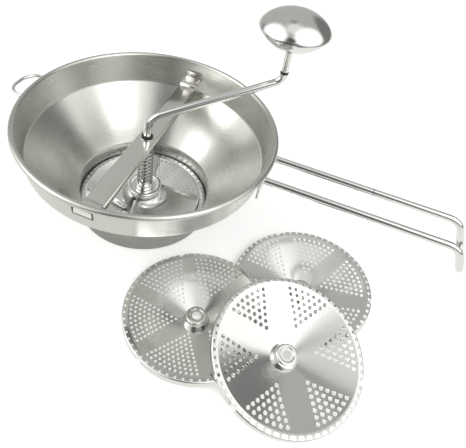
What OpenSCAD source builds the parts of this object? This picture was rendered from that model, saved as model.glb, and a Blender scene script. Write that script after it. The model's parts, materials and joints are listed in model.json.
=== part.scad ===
// Rotary food mill: a spun bowl with a bridge bar, a sprung crank rotor that wipes
// a perforated dished disc, and three spare discs lying beside it.
// Origin: bowl axis, on the plane the base ring stands on. +X along the handle.

/* [Bowl] */
// Outer diameter over the rolled rim
rim_d = 240; // [225:1:260]
// Diameter of the rolled rim bead
rim_bead_d = 5.5; // [4:0.5:7]
// Height of the upright collar, rim bead included
collar_h = 31.2; // [28:0.2:38]
// How much narrower the collar is at its lower end than under the rim, on the radius
collar_draft = 4.2; // [1:0.2:6]
// Height of the cone between base ring and collar
cone_h = 48.5; // [42:0.5:60]
// Outer diameter of the base ring
base_d = 128.8; // [118:0.2:134]
// Height of the base ring
base_h = 24.5; // [23:0.5:30]
// Thickness of the spun sheet
bowl_sheet = 0.9; // [0.6:0.1:1.2]
// Bend radius between collar and cone
collar_bend_r = 6; // [3:0.5:9]
// Bend radius between cone and base ring
base_bend_r = 4; // [2:0.5:6]
// Width of the shelf pressed into the base ring for the disc
seat_w = 2.8; // [2:0.1:3.4]
// Width of each locating lug inside the base ring
lug_w = 3.6; // [2.5:0.1:4.5]

/* [Handle and rest loop] */
// Rod diameter of the handle
handle_rod_d = 6.5; // [5:0.5:7.5]
// Distance between the two handle rods, centre to centre
handle_rod_gap = 32; // [26:1:38]
// Reach of the straight handle rods from the bowl axis
handle_reach = 272; // [230:1:300]
// Bend radius where the handle turns down
handle_bend_r = 14; // [10:1:18]
// Angle that the handle end turns down
handle_drop_angle = 70; // [40:1:80]
// Straight length between the bend and the end turn
handle_drop_run = 6; // [2:1:12]
// Length of the plate that carries the handle
handle_plate_l = 58; // [48:1:70]
// Height of the plate that carries the handle
handle_plate_h = 14; // [10:1:18]
// Thickness of the plate that carries the handle
handle_plate_t = 2; // [1.5:0.1:2.5]
// Wire diameter of the rest loop
loop_wire_d = 3.5; // [3:0.5:5]
// Width of the rest loop, centre to centre
loop_w = 37; // [30:1:44]
// Reach of the rest loop from the bowl axis
loop_reach = 137; // [131:1:145]
// Corner radius of the rest loop
loop_corner_r = 10; // [6:1:13]

/* [Bridge bar] */
// Width of the bar
bar_w = 19; // [16:0.5:24]
// Sheet thickness of the bar
bar_sheet = 1.5; // [1:0.1:2]
// Depth of the bar over its turned-down flanges
bar_depth = 5.5; // [4:0.5:7]
// Outside edge radius along the bar
bar_edge_r = 1.8; // [1.7:0.1:2.4]
// Height of the bar's top face
bar_z = 84; // [80:0.5:86]
// Width of the tongue at each end
tongue_w = 17.4; // [12:0.2:18]
// Length of the tongue inside the collar wall
tongue_l = 17; // [12:1:22]
// Step from the bar up to the tongue
tongue_step = 2.5; // [1.5:0.1:3.5]
// Height of the slots in the collar
slot_h = 9; // [7:0.5:9.5]
// Clearance round the tongue in its slot
slot_clear = 0.3; // [0.2:0.05:0.5]
// Diameter of the bridge bush through the bar
bush_d = 10; // [9.4:0.2:11]

/* [Discs] */
// Gap all round between a disc's skirt and the base ring
disc_clear = 1.2; // [1:0.1:2]
// Sheet thickness of a disc
disc_sheet = 0.8; // [0.6:0.1:1]
// Depth of the dish below the brim
dish_depth = 9.5; // [8:0.1:9.8]
// Width of a disc's brim round the dish
brim_w = 5.1; // [4.8:0.1:7]
// Flat floor of the dish round the bush
floor_d = 20; // [19:0.5:24]
// Height of the skirt
skirt_h = 6; // [4:0.1:6.5]
// Height of the fitted disc's brim above the base plane
disc_z = 11.5; // [11.5:0.1:13]
// Number of holes in the brim
brim_holes = 60; // [30:1:72]
// Outside diameter of the disc bush
hub_d = 18; // [16:0.2:18.6]
// Hole diameter of the fitted disc
fitted_hole_d = 2.6; // [2:0.1:3]
// Hole spacing of the fitted disc
fitted_pitch = 4.8; // [4.4:0.1:7]
// Distance of the fitted disc's first holes from the axis
fitted_first_r = 20; // [17:0.5:30]
// Hole diameter of the fine disc
fine_hole_d = 2; // [1.5:0.1:2.4]
// Hole spacing of the fine disc
fine_pitch = 4.3; // [3.8:0.1:6]
// Distance of the fine disc's first holes from the axis
fine_first_r = 17.5; // [17:0.5:30]
// Hole diameter of the medium disc
medium_hole_d = 2.6; // [2:0.1:3]
// Hole spacing of the medium disc
medium_pitch = 4.8; // [4.4:0.1:7]
// Distance of the medium disc's first holes from the axis
medium_first_r = 20; // [17:0.5:30]
// Hole diameter of the coarse disc
coarse_hole_d = 3.2; // [2.5:0.1:3.4]
// Hole spacing of the coarse disc
coarse_pitch = 5.4; // [4.8:0.1:8]
// Distance of the coarse disc's first holes from the axis
coarse_first_r = 25.5; // [20:0.5:32]

/* [Pile of loose discs] */
// Distance of the pile's middle from the bowl axis, along the handle
pile_x = 153; // [152:1:170]
// Distance of the pile's middle from the bowl axis, across the handle
pile_y = 86; // [86:1:100]
// Rise across the fine disc, which has one edge on the medium disc
fine_rise = 7.2; // [7.2:0.1:8]
// Rise across the coarse disc, which leans on the other two
coarse_rise = 30.6; // [30.6:0.1:34]

/* [Crank and knob] */
// Diameter of the crank rod
rod_d = 7.5; // [6:0.1:8]
// Distance from the shaft to the knob axis
crank_throw = 120; // [90:1:140]
// Slope of the crank arm
crank_slope = 18.4; // [12:0.2:24]
// Height where the line of the arm meets the shaft
crank_z = 104.9; // [102:0.1:112]
// Bend radius at the shaft
shaft_bend_r = 12; // [8:1:16]
// Bend radius below the knob
knob_bend_r = 10; // [8:1:14]
// Direction of the crank at rest, from the handle
crank_angle = 33; // [0:1:359]
// Diameter of the pin that the knob turns on
pin_d = 4.4; // [3.5:0.1:5]
// Outside diameter of the knob's stem
stem_d = 6.6; // [6.2:0.1:8]
// Length of the stem below the knob
stem_l = 21.8; // [15:0.1:30]
// Diameter of the knob
knob_d = 59; // [50:1:66]
// Height of the knob above its widest line
knob_top_h = 16.5; // [12:0.5:22]
// Height of the knob below its widest line
knob_bottom_h = 17.5; // [12:0.5:22]
// Wall of the knob's two shells
knob_sheet = 0.9; // [0.6:0.1:1.2]

/* [Rotor] */
// Gap between the wings' tips and the edge of the dish
wing_clear = 1.2; // [1:0.1:4]
// Sheet thickness of the wings
wing_sheet = 1; // [0.8:0.1:1.4]
// Height of the raised edge's outer end above the base plane
wing_lift_z = 15; // [13:0.5:17]
// Diameter of the rotor's hub flange
rotor_flange_d = 34; // [30:1:38]
// Height of the sheet's flat centre above the base plane
rotor_plate_z = 16; // [15.5:0.1:17]
// Distance from the axis to the line of the trailing edge
trail_offset = 25; // [20:1:27]
// Height of the hub flange above the sheet
rotor_flange_h = 7; // [6:0.5:9]

/* [Spring] */
// Wire diameter of the spring
spring_wire_d = 1.3; // [1:0.1:1.6]
// Wire radius of the spring's lowest turn
spring_low_r = 7.3; // [7:0.1:7.6]
// Wire radius of the spring's top turn
spring_high_r = 6.2; // [6:0.1:7]
// Number of turns
spring_turns = 12; // [8:1:14]

/* [Hidden] */

$fn = 64;
ROUND = 128;      // facets round the bowl and the discs' edges
EPS = 0.01;
FIT = 0.05;       // radial running fit of shaft, pin and bushes
SEAT = 0.1;       // gap under a piece that rests on another
THINNING = 0.02;  // radius that a rod loses in a bend
LAP = 0.3;        // length that a straight rod runs on into a bend

// --- bowl sizes
rim_r = rim_d / 2;
bead_r = rim_bead_d / 2;
base_r = base_d / 2;
cone_top_z = base_h + cone_h;
rim_z = cone_top_z + collar_h;
bead_z = rim_z - bead_r;
collar_top_r = rim_r - rim_bead_d + bowl_sheet;
collar_low_r = collar_top_r - collar_draft;
base_in_r = base_r - bowl_sheet;
function collar_r(z) =
    collar_low_r + (z - cone_top_z) * collar_draft / (bead_z - cone_top_z);

// --- disc sizes
disc_r = base_in_r - disc_clear;
dish_r = disc_r - brim_w;
floor_r = floor_d / 2;
brim_hole_r = (dish_r + disc_r) / 2 + 0.2;
DISH_SIDES = 36;
HOLE_EDGE = 1;    // sheet left between the last row and the brim
DISH_TURN = 4;    // keeps the middle hole of each row off the edges between the facets
disc_bush_flange = 0.7;
disc_bush_rise = 4;
bush_depth = dish_depth + disc_sheet + disc_bush_flange;
notch_w = lug_w + 1.4;
notch_depth = 1.9;
seat_z = disc_z - skirt_h - SEAT;
lug_r = disc_r - notch_depth + 0.5;
LUG_ANGLES = [5, 125, 245];
floor_z = -dish_depth;                       // in a disc's own frame, brim top at 0
bush_top = floor_z + disc_bush_rise;
function dish_top(r) = disc_z - dish_depth * (dish_r - r) / (dish_r - floor_r);

// --- bridge sizes
slot_z = bar_z + tongue_step - bar_sheet;
slot_w = tongue_w + 2 * slot_clear;
bar_end = collar_r(slot_z) - tongue_l;
tab_y = collar_r(slot_z + slot_h / 2) - bar_sheet + 0.4;
bush_r = bush_d / 2;
bush_flange_t = 0.6;
washer_t = 0.8;
bush_nose = 3;

// --- crank sizes
rod_r = rod_d / 2;
pilot_z = disc_z + floor_z - disc_sheet;      // lower end of the rod
arm_turn = 90 - crank_slope;
low_tangent = shaft_bend_r * tan(arm_turn / 2);
high_tangent = knob_bend_r * tan(arm_turn / 2);
shaft_top_z = crank_z - low_tangent;
arm_l = crank_throw / cos(crank_slope) - low_tangent - high_tangent;
shoulder_rise = 0.4;
shoulder_z = crank_z + crank_throw * tan(crank_slope) + high_tangent + shoulder_rise;
knob_ring_t = 1.9;
stem_z = shoulder_z + knob_ring_t + SEAT;
knob_z = stem_z + stem_l + knob_bottom_h;     // widest line of the knob
stem_top_z = knob_z - 3;
pin_top_z = stem_top_z + 2;
knob_r = knob_d / 2;
seal_ring_wire = 1.9;

// --- rotor sizes
wing_r = dish_r - wing_clear;
hub_boss_r = 9;
hub_bottom_z = disc_z + bush_top + 0.3;
cup_z = rotor_plate_z + wing_sheet + rotor_flange_h - 2;
cup_shoulder_z = cup_z + 5.5;
cup_r = 8.6;
rotor_pin_d = 2.5;
rotor_pin_z = 12;
spring_low_z = cup_shoulder_z + spring_wire_d / 2 + FIT;
spring_high_z = bar_z - bar_sheet - washer_t - spring_wire_d / 2 - FIT;

// === shape helpers =======================================================

// unit vector and left normal of a 2D step
function unit(v) = v / norm(v);
function left(v) = [-v[1], v[0]];

// corner B of the path A-B-C turned into an arc of radius r with n steps
function fillet(A, B, C, r, n = 6) =
    let (u = unit(A - B), v = unit(C - B), half = acos(u * v) / 2,
         centre = B + unit(u + v) * r / sin(half),
         p = B + u * r / tan(half), q = B + v * r / tan(half),
         a0 = atan2(p[1] - centre[1], p[0] - centre[0]),
         a1 = atan2(q[1] - centre[1], q[0] - centre[0]),
         turn = a1 - a0 > 180 ? a1 - a0 - 360 : a1 - a0 < -180 ? a1 - a0 + 360 : a1 - a0)
    [for (i = [0:n]) centre + r * [cos(a0 + turn * i / n), sin(a0 + turn * i / n)]];

// the path moved sideways by t, mitred at its corners
function beside(path, t) =
    [for (i = [0:len(path) - 1])
        let (a = i > 0 ? unit(path[i] - path[i - 1]) : unit(path[1] - path[0]),
             b = i < len(path) - 1 ? unit(path[i + 1] - path[i]) : a,
             n = unit(left(a) + left(b)))
        path[i] + n * t / (n * left(a))];

function reversed(list) = [for (i = [len(list) - 1:-1:0]) list[i]];

// outline of a sheet of thickness t along a path, on its left side
module sheet_outline(path, t) {
    polygon(concat(path, reversed(beside(path, t))));
}

// quarter ellipse from its widest point to the axis (or to radius stop)
function dome(a, c, stop = 0, n = 18) =
    let (end = acos(stop / a))
    [for (i = [0:n]) [a * cos(end * i / n), c * sin(end * i / n)]];

// straight rod along +Z that laps into the bend before and after it, and what follows
module rod_run(d, l, before = 0, after = 0) {
    translate([0, 0, -before * LAP]) cylinder(d = d, h = l + (before + after) * LAP);
    translate([0, 0, l]) children();
}

// bend of a rod from +Z towards +X, drawn a little thinner as in real bending
module rod_bend(d, r, a) {
    translate([r, 0, 0]) rotate([0, 180, 0]) rotate([-90, 0, 0])
        rotate_extrude(angle = a, $fn = ROUND) translate([r, 0]) circle(d = d - 2 * THINNING);
    translate([r, 0, 0]) rotate([0, a, 0]) translate([-r, 0, 0]) children();
}

module mirrored_pair(axis) {
    children();
    mirror(axis) children();
}

// === bowl ================================================================

module bowl() {
    seat_low = seat_z - bowl_sheet;
    wall = concat(
        [[base_r, 0], [base_r, 1.2], [base_r - seat_w, seat_low - 1.2],
         [base_r - seat_w, seat_low], [base_r, seat_low]],
        fillet([base_r, seat_low], [base_r, base_h], [collar_low_r, cone_top_z], base_bend_r),
        fillet([base_r, base_h], [collar_low_r, cone_top_z], [collar_top_r, bead_z],
               collar_bend_r),
        [[collar_top_r, bead_z]]);
    color("gainsboro") difference() {
        union() {
            rotate_extrude($fn = ROUND) {
                sheet_outline(wall, bowl_sheet);
                translate([rim_r - bead_r, bead_z]) circle(r = bead_r, $fn = 32);
            }
            // lugs that keep the disc from turning
            for (a = LUG_ANGLES) rotate(a)
                translate([lug_r, -lug_w / 2, seat_z])
                    cube([base_in_r - lug_r + bowl_sheet / 2, lug_w, skirt_h]);
        }
        for (side = [-1, 1])
            translate([-slot_w / 2, side * collar_top_r - rim_bead_d, slot_z])
                cube([slot_w, 2 * rim_bead_d, slot_h]);
    }
}

// === handle and rest loop ================================================

handle_z = bead_z - bead_r - handle_rod_d / 2;
plate_top = handle_z + handle_rod_d / 2 - 1;
plate_x = collar_r(plate_top) + SEAT;

module handle_plate() {
    color("silver")
        translate([plate_x, -handle_plate_l / 2, plate_top - handle_plate_h])
            cube([handle_plate_t, handle_plate_l, handle_plate_h]);
}

module handle_loop() {
    half = handle_rod_gap / 2;
    start = plate_x + handle_plate_t;
    color("silver") translate([start, half, handle_z]) rotate([0, 90, 0])
        rod_run(handle_rod_d, handle_reach - start, after = 1)
        rod_bend(handle_rod_d, handle_bend_r, handle_drop_angle)
        rod_run(handle_rod_d, handle_drop_run, before = 1, after = 1)
        rotate([0, 0, -90]) rod_bend(handle_rod_d, half, 180)
        rotate([0, 0, 90]) rod_run(handle_rod_d, handle_drop_run, before = 1, after = 1)
        rod_bend(handle_rod_d, handle_bend_r, handle_drop_angle)
        rod_run(handle_rod_d, handle_reach - start, before = 1);
}

module rest_loop() {
    half = loop_w / 2;
    low = bead_z - bead_r - loop_wire_d;
    start = collar_r(low) - 4;
    color("silver") difference() {
        mirrored_pair([0, 1, 0])
            translate([-start, half, low + loop_wire_d / 2]) rotate([0, -90, 0])
                rod_run(loop_wire_d, loop_reach - loop_corner_r - start, after = 1)
                rotate([0, 0, -90]) rod_bend(loop_wire_d, loop_corner_r, 90)
                rod_run(loop_wire_d, half - loop_corner_r, before = 1);
        // the wire ends follow the collar
        translate([0, 0, low - 1])
            cylinder(r1 = collar_r(low - 1) + SEAT, r2 = collar_r(low + loop_wire_d + 1) + SEAT,
                     h = loop_wire_d + 2, $fn = ROUND);
    }
}

// === bridge bar ==========================================================

module bridge_bar() {
    low = -bar_depth;
    half = bar_w / 2;
    section = concat([[-half, low]],
                     fillet([-half, low], [-half, 0], [half, 0], bar_edge_r),
                     fillet([-half, 0], [half, 0], [half, low], bar_edge_r),
                     [[half, low]]);
    tongue_top = tongue_step;
    tab_top = tongue_step - bar_sheet + slot_h - slot_clear;
    tongue = [[bar_end - 2, -bar_sheet], [bar_end, -bar_sheet],
              [bar_end + tongue_step, tongue_top - bar_sheet],
              [tab_y + bar_sheet, tongue_top - bar_sheet],
              [tab_y + bar_sheet, tab_top], [tab_y, tab_top], [tab_y, tongue_top],
              [bar_end + tongue_step - bar_sheet / 2, tongue_top], [bar_end - 1, 0],
              [bar_end - 2, 0]];
    color("lightgray") translate([0, 0, bar_z]) difference() {
        union() {
            rotate([90, 0, 0]) translate([0, 0, -bar_end])
                linear_extrude(2 * bar_end) sheet_outline(section, -bar_sheet);
            mirrored_pair([0, 1, 0])
                rotate([90, 0, 90]) translate([0, 0, -tongue_w / 2])
                    linear_extrude(tongue_w) polygon(tongue);
        }
        translate([0, 0, -bar_depth - 1]) cylinder(r = bush_r, h = bar_depth + 2);
    }
}

module bridge_bush() {
    top = bar_z + bush_flange_t;
    low = bar_z - bar_sheet - washer_t - bush_nose;
    nose_r = spring_high_r - spring_wire_d / 2 - 0.4;
    step_z = bar_z - bar_sheet - washer_t;
    color("gray") rotate_extrude()
        polygon([[rod_r + FIT, low], [nose_r, low], [nose_r, step_z], [bush_r, step_z],
                 [bush_r, bar_z], [bush_r + 1.4, bar_z], [bush_r + 1.4, top - 0.2],
                 [bush_r + 1.2, top], [rod_r + FIT, top]]);
}

module spring_washer() {
    color("silver") translate([0, 0, bar_z - bar_sheet - washer_t]) difference() {
        cylinder(r = spring_high_r + spring_wire_d, h = washer_t);
        translate([0, 0, -1]) cylinder(r = bush_r, h = washer_t + 2);
    }
}

// === discs ===============================================================

// dish of planar facets, top face at height 0 at the brim
module dish_solid(drop) {
    rotate(DISH_TURN) hull() {
        translate([0, 0, floor_z - drop]) cylinder(r = floor_r, h = EPS, $fn = DISH_SIDES);
        translate([0, 0, -drop]) cylinder(r = dish_r, h = EPS, $fn = DISH_SIDES);
    }
}

// holes of one sixth of the dish: a triangle of rows, each one hole longer than the last
module sector_holes(hole_d, pitch, first_r) {
    row_step = pitch * 0.87;
    for (row = [0 : floor((dish_r - hole_d / 2 - HOLE_EDGE - first_r) / row_step)])
        let (r = first_r + row * row_step)
            for (k = [0:row])
                rotate((k - row / 2) * pitch / r * 180 / PI)
                    translate([r, 0, floor_z - 3])
                        cylinder(d = hole_d, h = dish_depth + 4, $fn = 16);
}

module disc_plate(hole_d, pitch, first_r) {
    brim = concat([[dish_r - 2.5, 0]],
                  fillet([dish_r - 2.5, 0], [disc_r, 0], [disc_r, -skirt_h], 1.6),
                  [[disc_r, -skirt_h]]);
    difference() {
        union() {
            rotate_extrude($fn = ROUND) sheet_outline(brim, -disc_sheet);
            dish_solid(disc_sheet);
        }
        dish_solid(0);
        translate([0, 0, floor_z - 2]) cylinder(r = hub_d / 3, h = 4);
        for (i = [0:brim_holes - 1]) rotate(i * 360 / brim_holes)
            translate([brim_hole_r, 0, -2]) cylinder(d = min(hole_d, 2.6), h = 4, $fn = 16);
        for (s = [0:5]) rotate(s * 60 + 30) sector_holes(hole_d, pitch, first_r);
        for (a = LUG_ANGLES) rotate(a)
            translate([disc_r - notch_depth, -notch_w / 2, -skirt_h - 1])
                cube([notch_depth + 1, notch_w, skirt_h + 2]);
    }
}

module disc_bush() {
    low = floor_z - disc_sheet - disc_bush_flange;
    edge = hub_d / 2;
    color("silver") rotate_extrude()
        polygon([[rod_r + FIT, low], [edge, low], [edge, floor_z - disc_sheet],
                 [hub_d / 3, floor_z - disc_sheet], [hub_d / 3, floor_z], [edge, floor_z],
                 [edge, bush_top - 1.2], [edge - 0.4, bush_top - 0.4], [edge - 1.2, bush_top],
                 [rod_r + 1.2, bush_top], [rod_r + FIT, bush_top - 0.8]]);
}

// The medium disc stands on its bush and one point of its skirt. The fine disc stands
// on its bush, with one edge on the medium disc. The coarse disc leans on both.
medium_tip = atan((bush_depth - skirt_h) / (disc_r - hub_d / 2));
fine_tip = asin(fine_rise / (2 * disc_r));
coarse_tip = asin(coarse_rise / (2 * disc_r));
function on_bush(tip) = hub_d / 2 * sin(tip) + bush_depth * cos(tip) + SEAT;
function on_skirt(tip) = disc_r * sin(tip) + skirt_h * cos(tip) + SEAT;

// a brim's centre, from its direction and its distance from the pile's middle in radii
function in_pile(direction, share, height) =
    [pile_x + share * disc_r * cos(direction), -pile_y + share * disc_r * sin(direction),
     height];
MEDIUM_AT = in_pile(64.4, 0.854, on_skirt(medium_tip));
MEDIUM_TIP = [200, medium_tip];
FINE_AT = in_pile(200, 0.889, on_bush(fine_tip));
FINE_TIP = [191, fine_tip];
COARSE_AT = in_pile(316, 0.647, on_skirt(coarse_tip));
COARSE_TIP = [311, coarse_tip];

// tips its children down towards the direction tip[0] by the angle tip[1]
module laid(at, tip) {
    translate(at) rotate([0, 0, tip[0]]) rotate([0, tip[1], 0]) rotate([0, 0, -tip[0]])
        children();
}

module fitted_disc() color("silver") translate([0, 0, disc_z])
    disc_plate(fitted_hole_d, fitted_pitch, fitted_first_r);
module fitted_disc_bush() translate([0, 0, disc_z]) disc_bush();
module medium_disc() color("silver") laid(MEDIUM_AT, MEDIUM_TIP)
    disc_plate(medium_hole_d, medium_pitch, medium_first_r);
module medium_disc_bush() laid(MEDIUM_AT, MEDIUM_TIP) disc_bush();
module fine_disc() color("silver") laid(FINE_AT, FINE_TIP)
    disc_plate(fine_hole_d, fine_pitch, fine_first_r);
module fine_disc_bush() laid(FINE_AT, FINE_TIP) disc_bush();
module coarse_disc() color("silver") laid(COARSE_AT, COARSE_TIP)
    disc_plate(coarse_hole_d, coarse_pitch, coarse_first_r);
module coarse_disc_bush() laid(COARSE_AT, COARSE_TIP) disc_bush();

// === spring and its cup ==================================================

module spring() {
    sides = 8;
    steps = 18 * spring_turns;
    ring = [for (i = [0:steps])
        let (t = i / steps, r = spring_low_r + (spring_high_r - spring_low_r) * t,
             z = spring_low_z + (spring_high_z - spring_low_z) * t, a = 360 * spring_turns * t)
        for (k = [0:sides - 1])
            let (b = 360 * k / sides, w = spring_wire_d / 2)
            [(r + w * cos(b)) * cos(a), (r + w * cos(b)) * sin(a), z + w * sin(b)]];
    color("gray") polyhedron(ring, concat(
        [[for (k = [sides - 1:-1:0]) k]],
        [for (i = [0:steps - 1]) for (k = [0:sides - 1])
            let (p = i * sides + k, q = i * sides + (k + 1) % sides)
            [p, q, q + sides, p + sides]],
        [[for (k = [0:sides - 1]) steps * sides + k]]));
}

module spring_cup() {
    pilot_r = spring_low_r - spring_wire_d / 2 - 0.5;
    color("silver") rotate_extrude()
        polygon([[rod_r + FIT, cup_z], [cup_r, cup_z], [cup_r, cup_shoulder_z - 1],
                 [cup_r - 0.3, cup_shoulder_z - 0.3], [cup_r - 1, cup_shoulder_z],
                 [pilot_r, cup_shoulder_z], [pilot_r, cup_shoulder_z + 1.6],
                 [pilot_r - 0.8, cup_shoulder_z + 2.6], [rod_r + FIT, cup_shoulder_z + 2.6]]);
}

// === crank and rotor =====================================================

module crank_rod() {
    color("silver") rotate(crank_angle) difference() {
        translate([0, 0, pilot_z])
            rod_run(rod_d, shaft_top_z - pilot_z, after = 1)
            rod_bend(rod_d, shaft_bend_r, arm_turn)
            rod_run(rod_d, arm_l, before = 1, after = 1)
            rotate([0, 0, 180]) rod_bend(rod_d, knob_bend_r, arm_turn)
            rod_run(rod_d, shoulder_rise, before = 1)
            rod_run(pin_d, pin_top_z - shoulder_z, before = 1);
        rotate(-crank_angle) rotor_pin_hole();
    }
}

// hole for the cross pin through hub and rod
module rotor_pin_hole() {
    translate([0, 0, rotor_pin_z]) rotate([90, 0, 0])
        cylinder(d = rotor_pin_d + 2 * FIT, h = 3 * hub_boss_r, center = true);
}

module rotor_pin() {
    color("silver") translate([0, 0, rotor_pin_z]) rotate([90, 0, 0])
        cylinder(d = rotor_pin_d, h = 2 * hub_boss_r + 0.6, center = true);
}

module shaft_seal_ring() {
    wire_r = seal_ring_wire / 2;
    color("black") rotate_extrude() difference() {
        translate([rod_r + 0.6, bar_z + bush_flange_t + wire_r + FIT]) circle(r = wire_r, $fn = 24);
        translate([0, bar_z]) square([rod_r + FIT, bar_z]);
    }
}

module rotor_hub() {
    plate_top = rotor_plate_z + wing_sheet;
    flange_r = rotor_flange_d / 2;
    flange_top = plate_top + rotor_flange_h;
    color("silver") difference() {
        rotate_extrude()
            polygon([[rod_r + FIT, hub_bottom_z], [hub_boss_r - 0.8, hub_bottom_z],
                     [hub_boss_r, hub_bottom_z + 0.8], [hub_boss_r, plate_top],
                     [flange_r - 1.5, plate_top], [flange_r - 0.4, plate_top + 1.2],
                     [flange_r, plate_top + 3], [flange_r, flange_top - 1.8],
                     [flange_r - 0.5, flange_top - 0.6], [flange_r - 1.6, flange_top],
                     [flange_r - 2.6, flange_top], [flange_r - 3.6, flange_top - 0.8],
                     [flange_r - 4.2, cup_z - SEAT], [rod_r + FIT, cup_z - SEAT]]);
        rotor_pin_hole();
    }
}

// height of a wing's underside at radius r, u = 0 at the trailing edge, 1 at the raised edge
WING_GAP = 0.35;
WING_ROOT_R = rotor_flange_d / 2 - 2;
WING_BELLY_R = 29;
function ease(t) = t * t * (3 - 2 * t);
function trail_z(r) = r > WING_BELLY_R ? dish_top(r) + WING_GAP :
    let (t = ease(max(0, (r - WING_ROOT_R) / (WING_BELLY_R - WING_ROOT_R))))
    rotor_plate_z * (1 - t) + (dish_top(WING_BELLY_R) + WING_GAP) * t;
function lift_z(r) =
    rotor_plate_z + (wing_lift_z - rotor_plate_z) * (r - WING_ROOT_R) / (wing_r - WING_ROOT_R);
function rise(u) = u < 0.5 ? 0.12 * pow(2 * u, 2) : 0.12 + 0.88 * pow(2 * u - 1, 1.25);
function wing_z(r, u) = trail_z(r) + (lift_z(r) - trail_z(r)) * rise(u);
function wing_a(r, u) =
    let (trail = asin(trail_offset / max(r, trail_offset * 1.04)) - 3.5,
         lead = -80 - 12 * (wing_r - r) / (wing_r - WING_ROOT_R))
    trail + (lead - trail) * u;

module wing() {
    rows = 14;
    cols = 18;
    inner = WING_ROOT_R - 2;
    points = [for (side = [0, 1]) for (i = [0:rows]) for (j = [0:cols])
        let (r = inner + (wing_r - inner) * i / rows, u = j / cols, a = wing_a(r, u))
        [r * cos(a), r * sin(a), wing_z(r, u) + side * wing_sheet]];
    n = cols + 1;
    top = (rows + 1) * n;
    polyhedron(points, concat(
        [for (i = [0:rows - 1]) for (j = [0:cols - 1]) let (p = i * n + j)
            each [[p, p + 1, p + n], [p + 1, p + n + 1, p + n]]],
        [for (i = [0:rows - 1]) for (j = [0:cols - 1]) let (p = top + i * n + j)
            each [[p, p + n, p + 1], [p + 1, p + n, p + n + 1]]],
        [for (i = [0:rows - 1]) let (p = i * n)
            each [[p, p + n, p + n + top], [p, p + n + top, p + top]]],
        [for (i = [0:rows - 1]) let (p = i * n + cols)
            each [[p, p + top, p + n + top], [p, p + n + top, p + n]]],
        [for (j = [0:cols - 1]) each [[j, j + top, j + 1 + top], [j, j + 1 + top, j + 1]]],
        [for (j = [0:cols - 1]) let (p = rows * n + j)
            each [[p, p + 1, p + 1 + top], [p, p + 1 + top, p + top]]]));
}

module rotor_wings() {
    color("silver") difference() {
        union() {
            translate([0, 0, rotor_plate_z]) cylinder(r = WING_ROOT_R, h = wing_sheet);
            for (a = [0, 180]) rotate(a) wing();
        }
        translate([0, 0, rotor_plate_z - 1]) cylinder(r = hub_boss_r + FIT, h = wing_sheet + 2);
    }
}

// === knob ================================================================

module at_knob(z) {
    rotate(crank_angle) translate([crank_throw, 0, z]) children();
}

module knob_seal_ring() {
    color("black") at_knob(shoulder_z) rotate_extrude()
        polygon([[pin_d / 2 + FIT, 0], [rod_r, 0], [rod_r + 0.25, knob_ring_t / 2],
                 [rod_r, knob_ring_t], [pin_d / 2 + FIT, knob_ring_t]]);
}

module knob_rivet() {
    color("silver") at_knob(stem_top_z + SEAT) difference() {
        cylinder(r = stem_d / 2 + 0.8, h = 1.6);
        translate([0, 0, -1]) cylinder(r = pin_d / 2 + FIT, h = 4);
    }
}

module knob_stem() {
    flange_z = knob_z - stem_z - knob_bottom_h + knob_sheet + 0.8;
    color("silver") at_knob(stem_z) rotate_extrude()
        polygon([[pin_d / 2 + FIT, 0], [stem_d / 2 - 0.2, 0], [stem_d / 2, 0.2],
                 [stem_d / 2, flange_z], [stem_d / 2 + 2.4, flange_z],
                 [stem_d / 2 + 2.4, flange_z + 1], [stem_d / 2, flange_z + 1],
                 [stem_d / 2, stem_top_z - stem_z], [pin_d / 2 + FIT, stem_top_z - stem_z]]);
}

module knob_bottom_shell() {
    hole_r = stem_d / 2 + FIT;
    outer = dome(knob_r, knob_bottom_h, hole_r);
    inner = dome(knob_r - knob_sheet, knob_bottom_h - knob_sheet, hole_r);
    color("silver") at_knob(knob_z) mirror([0, 0, 1])
        rotate_extrude($fn = ROUND) polygon(concat(outer, reversed(inner)));
}

module knob_top_shell() {
    outer = dome(knob_r, knob_top_h);
    inner = dome(knob_r - knob_sheet, knob_top_h - knob_sheet);
    color("silver") at_knob(knob_z)
        rotate_extrude($fn = ROUND) polygon(concat(outer, reversed(inner)));
}

// === drawing =============================================================

bowl();
handle_plate();
handle_loop();
rest_loop();
bridge_bar();
bridge_bush();
spring_washer();
fitted_disc();
fitted_disc_bush();
spring();
spring_cup();
crank_rod();
shaft_seal_ring();
rotor_hub();
rotor_wings();
rotor_pin();
knob_seal_ring();
knob_rivet();
knob_stem();
knob_bottom_shell();
knob_top_shell();
medium_disc();
medium_disc_bush();
fine_disc();
fine_disc_bush();
coarse_disc();
coarse_disc_bush();
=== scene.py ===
import sys

import json
import logging
import math
from dataclasses import dataclass, field
from enum import Enum

import bmesh
import bpy
from mathutils import Matrix, Vector

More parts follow.
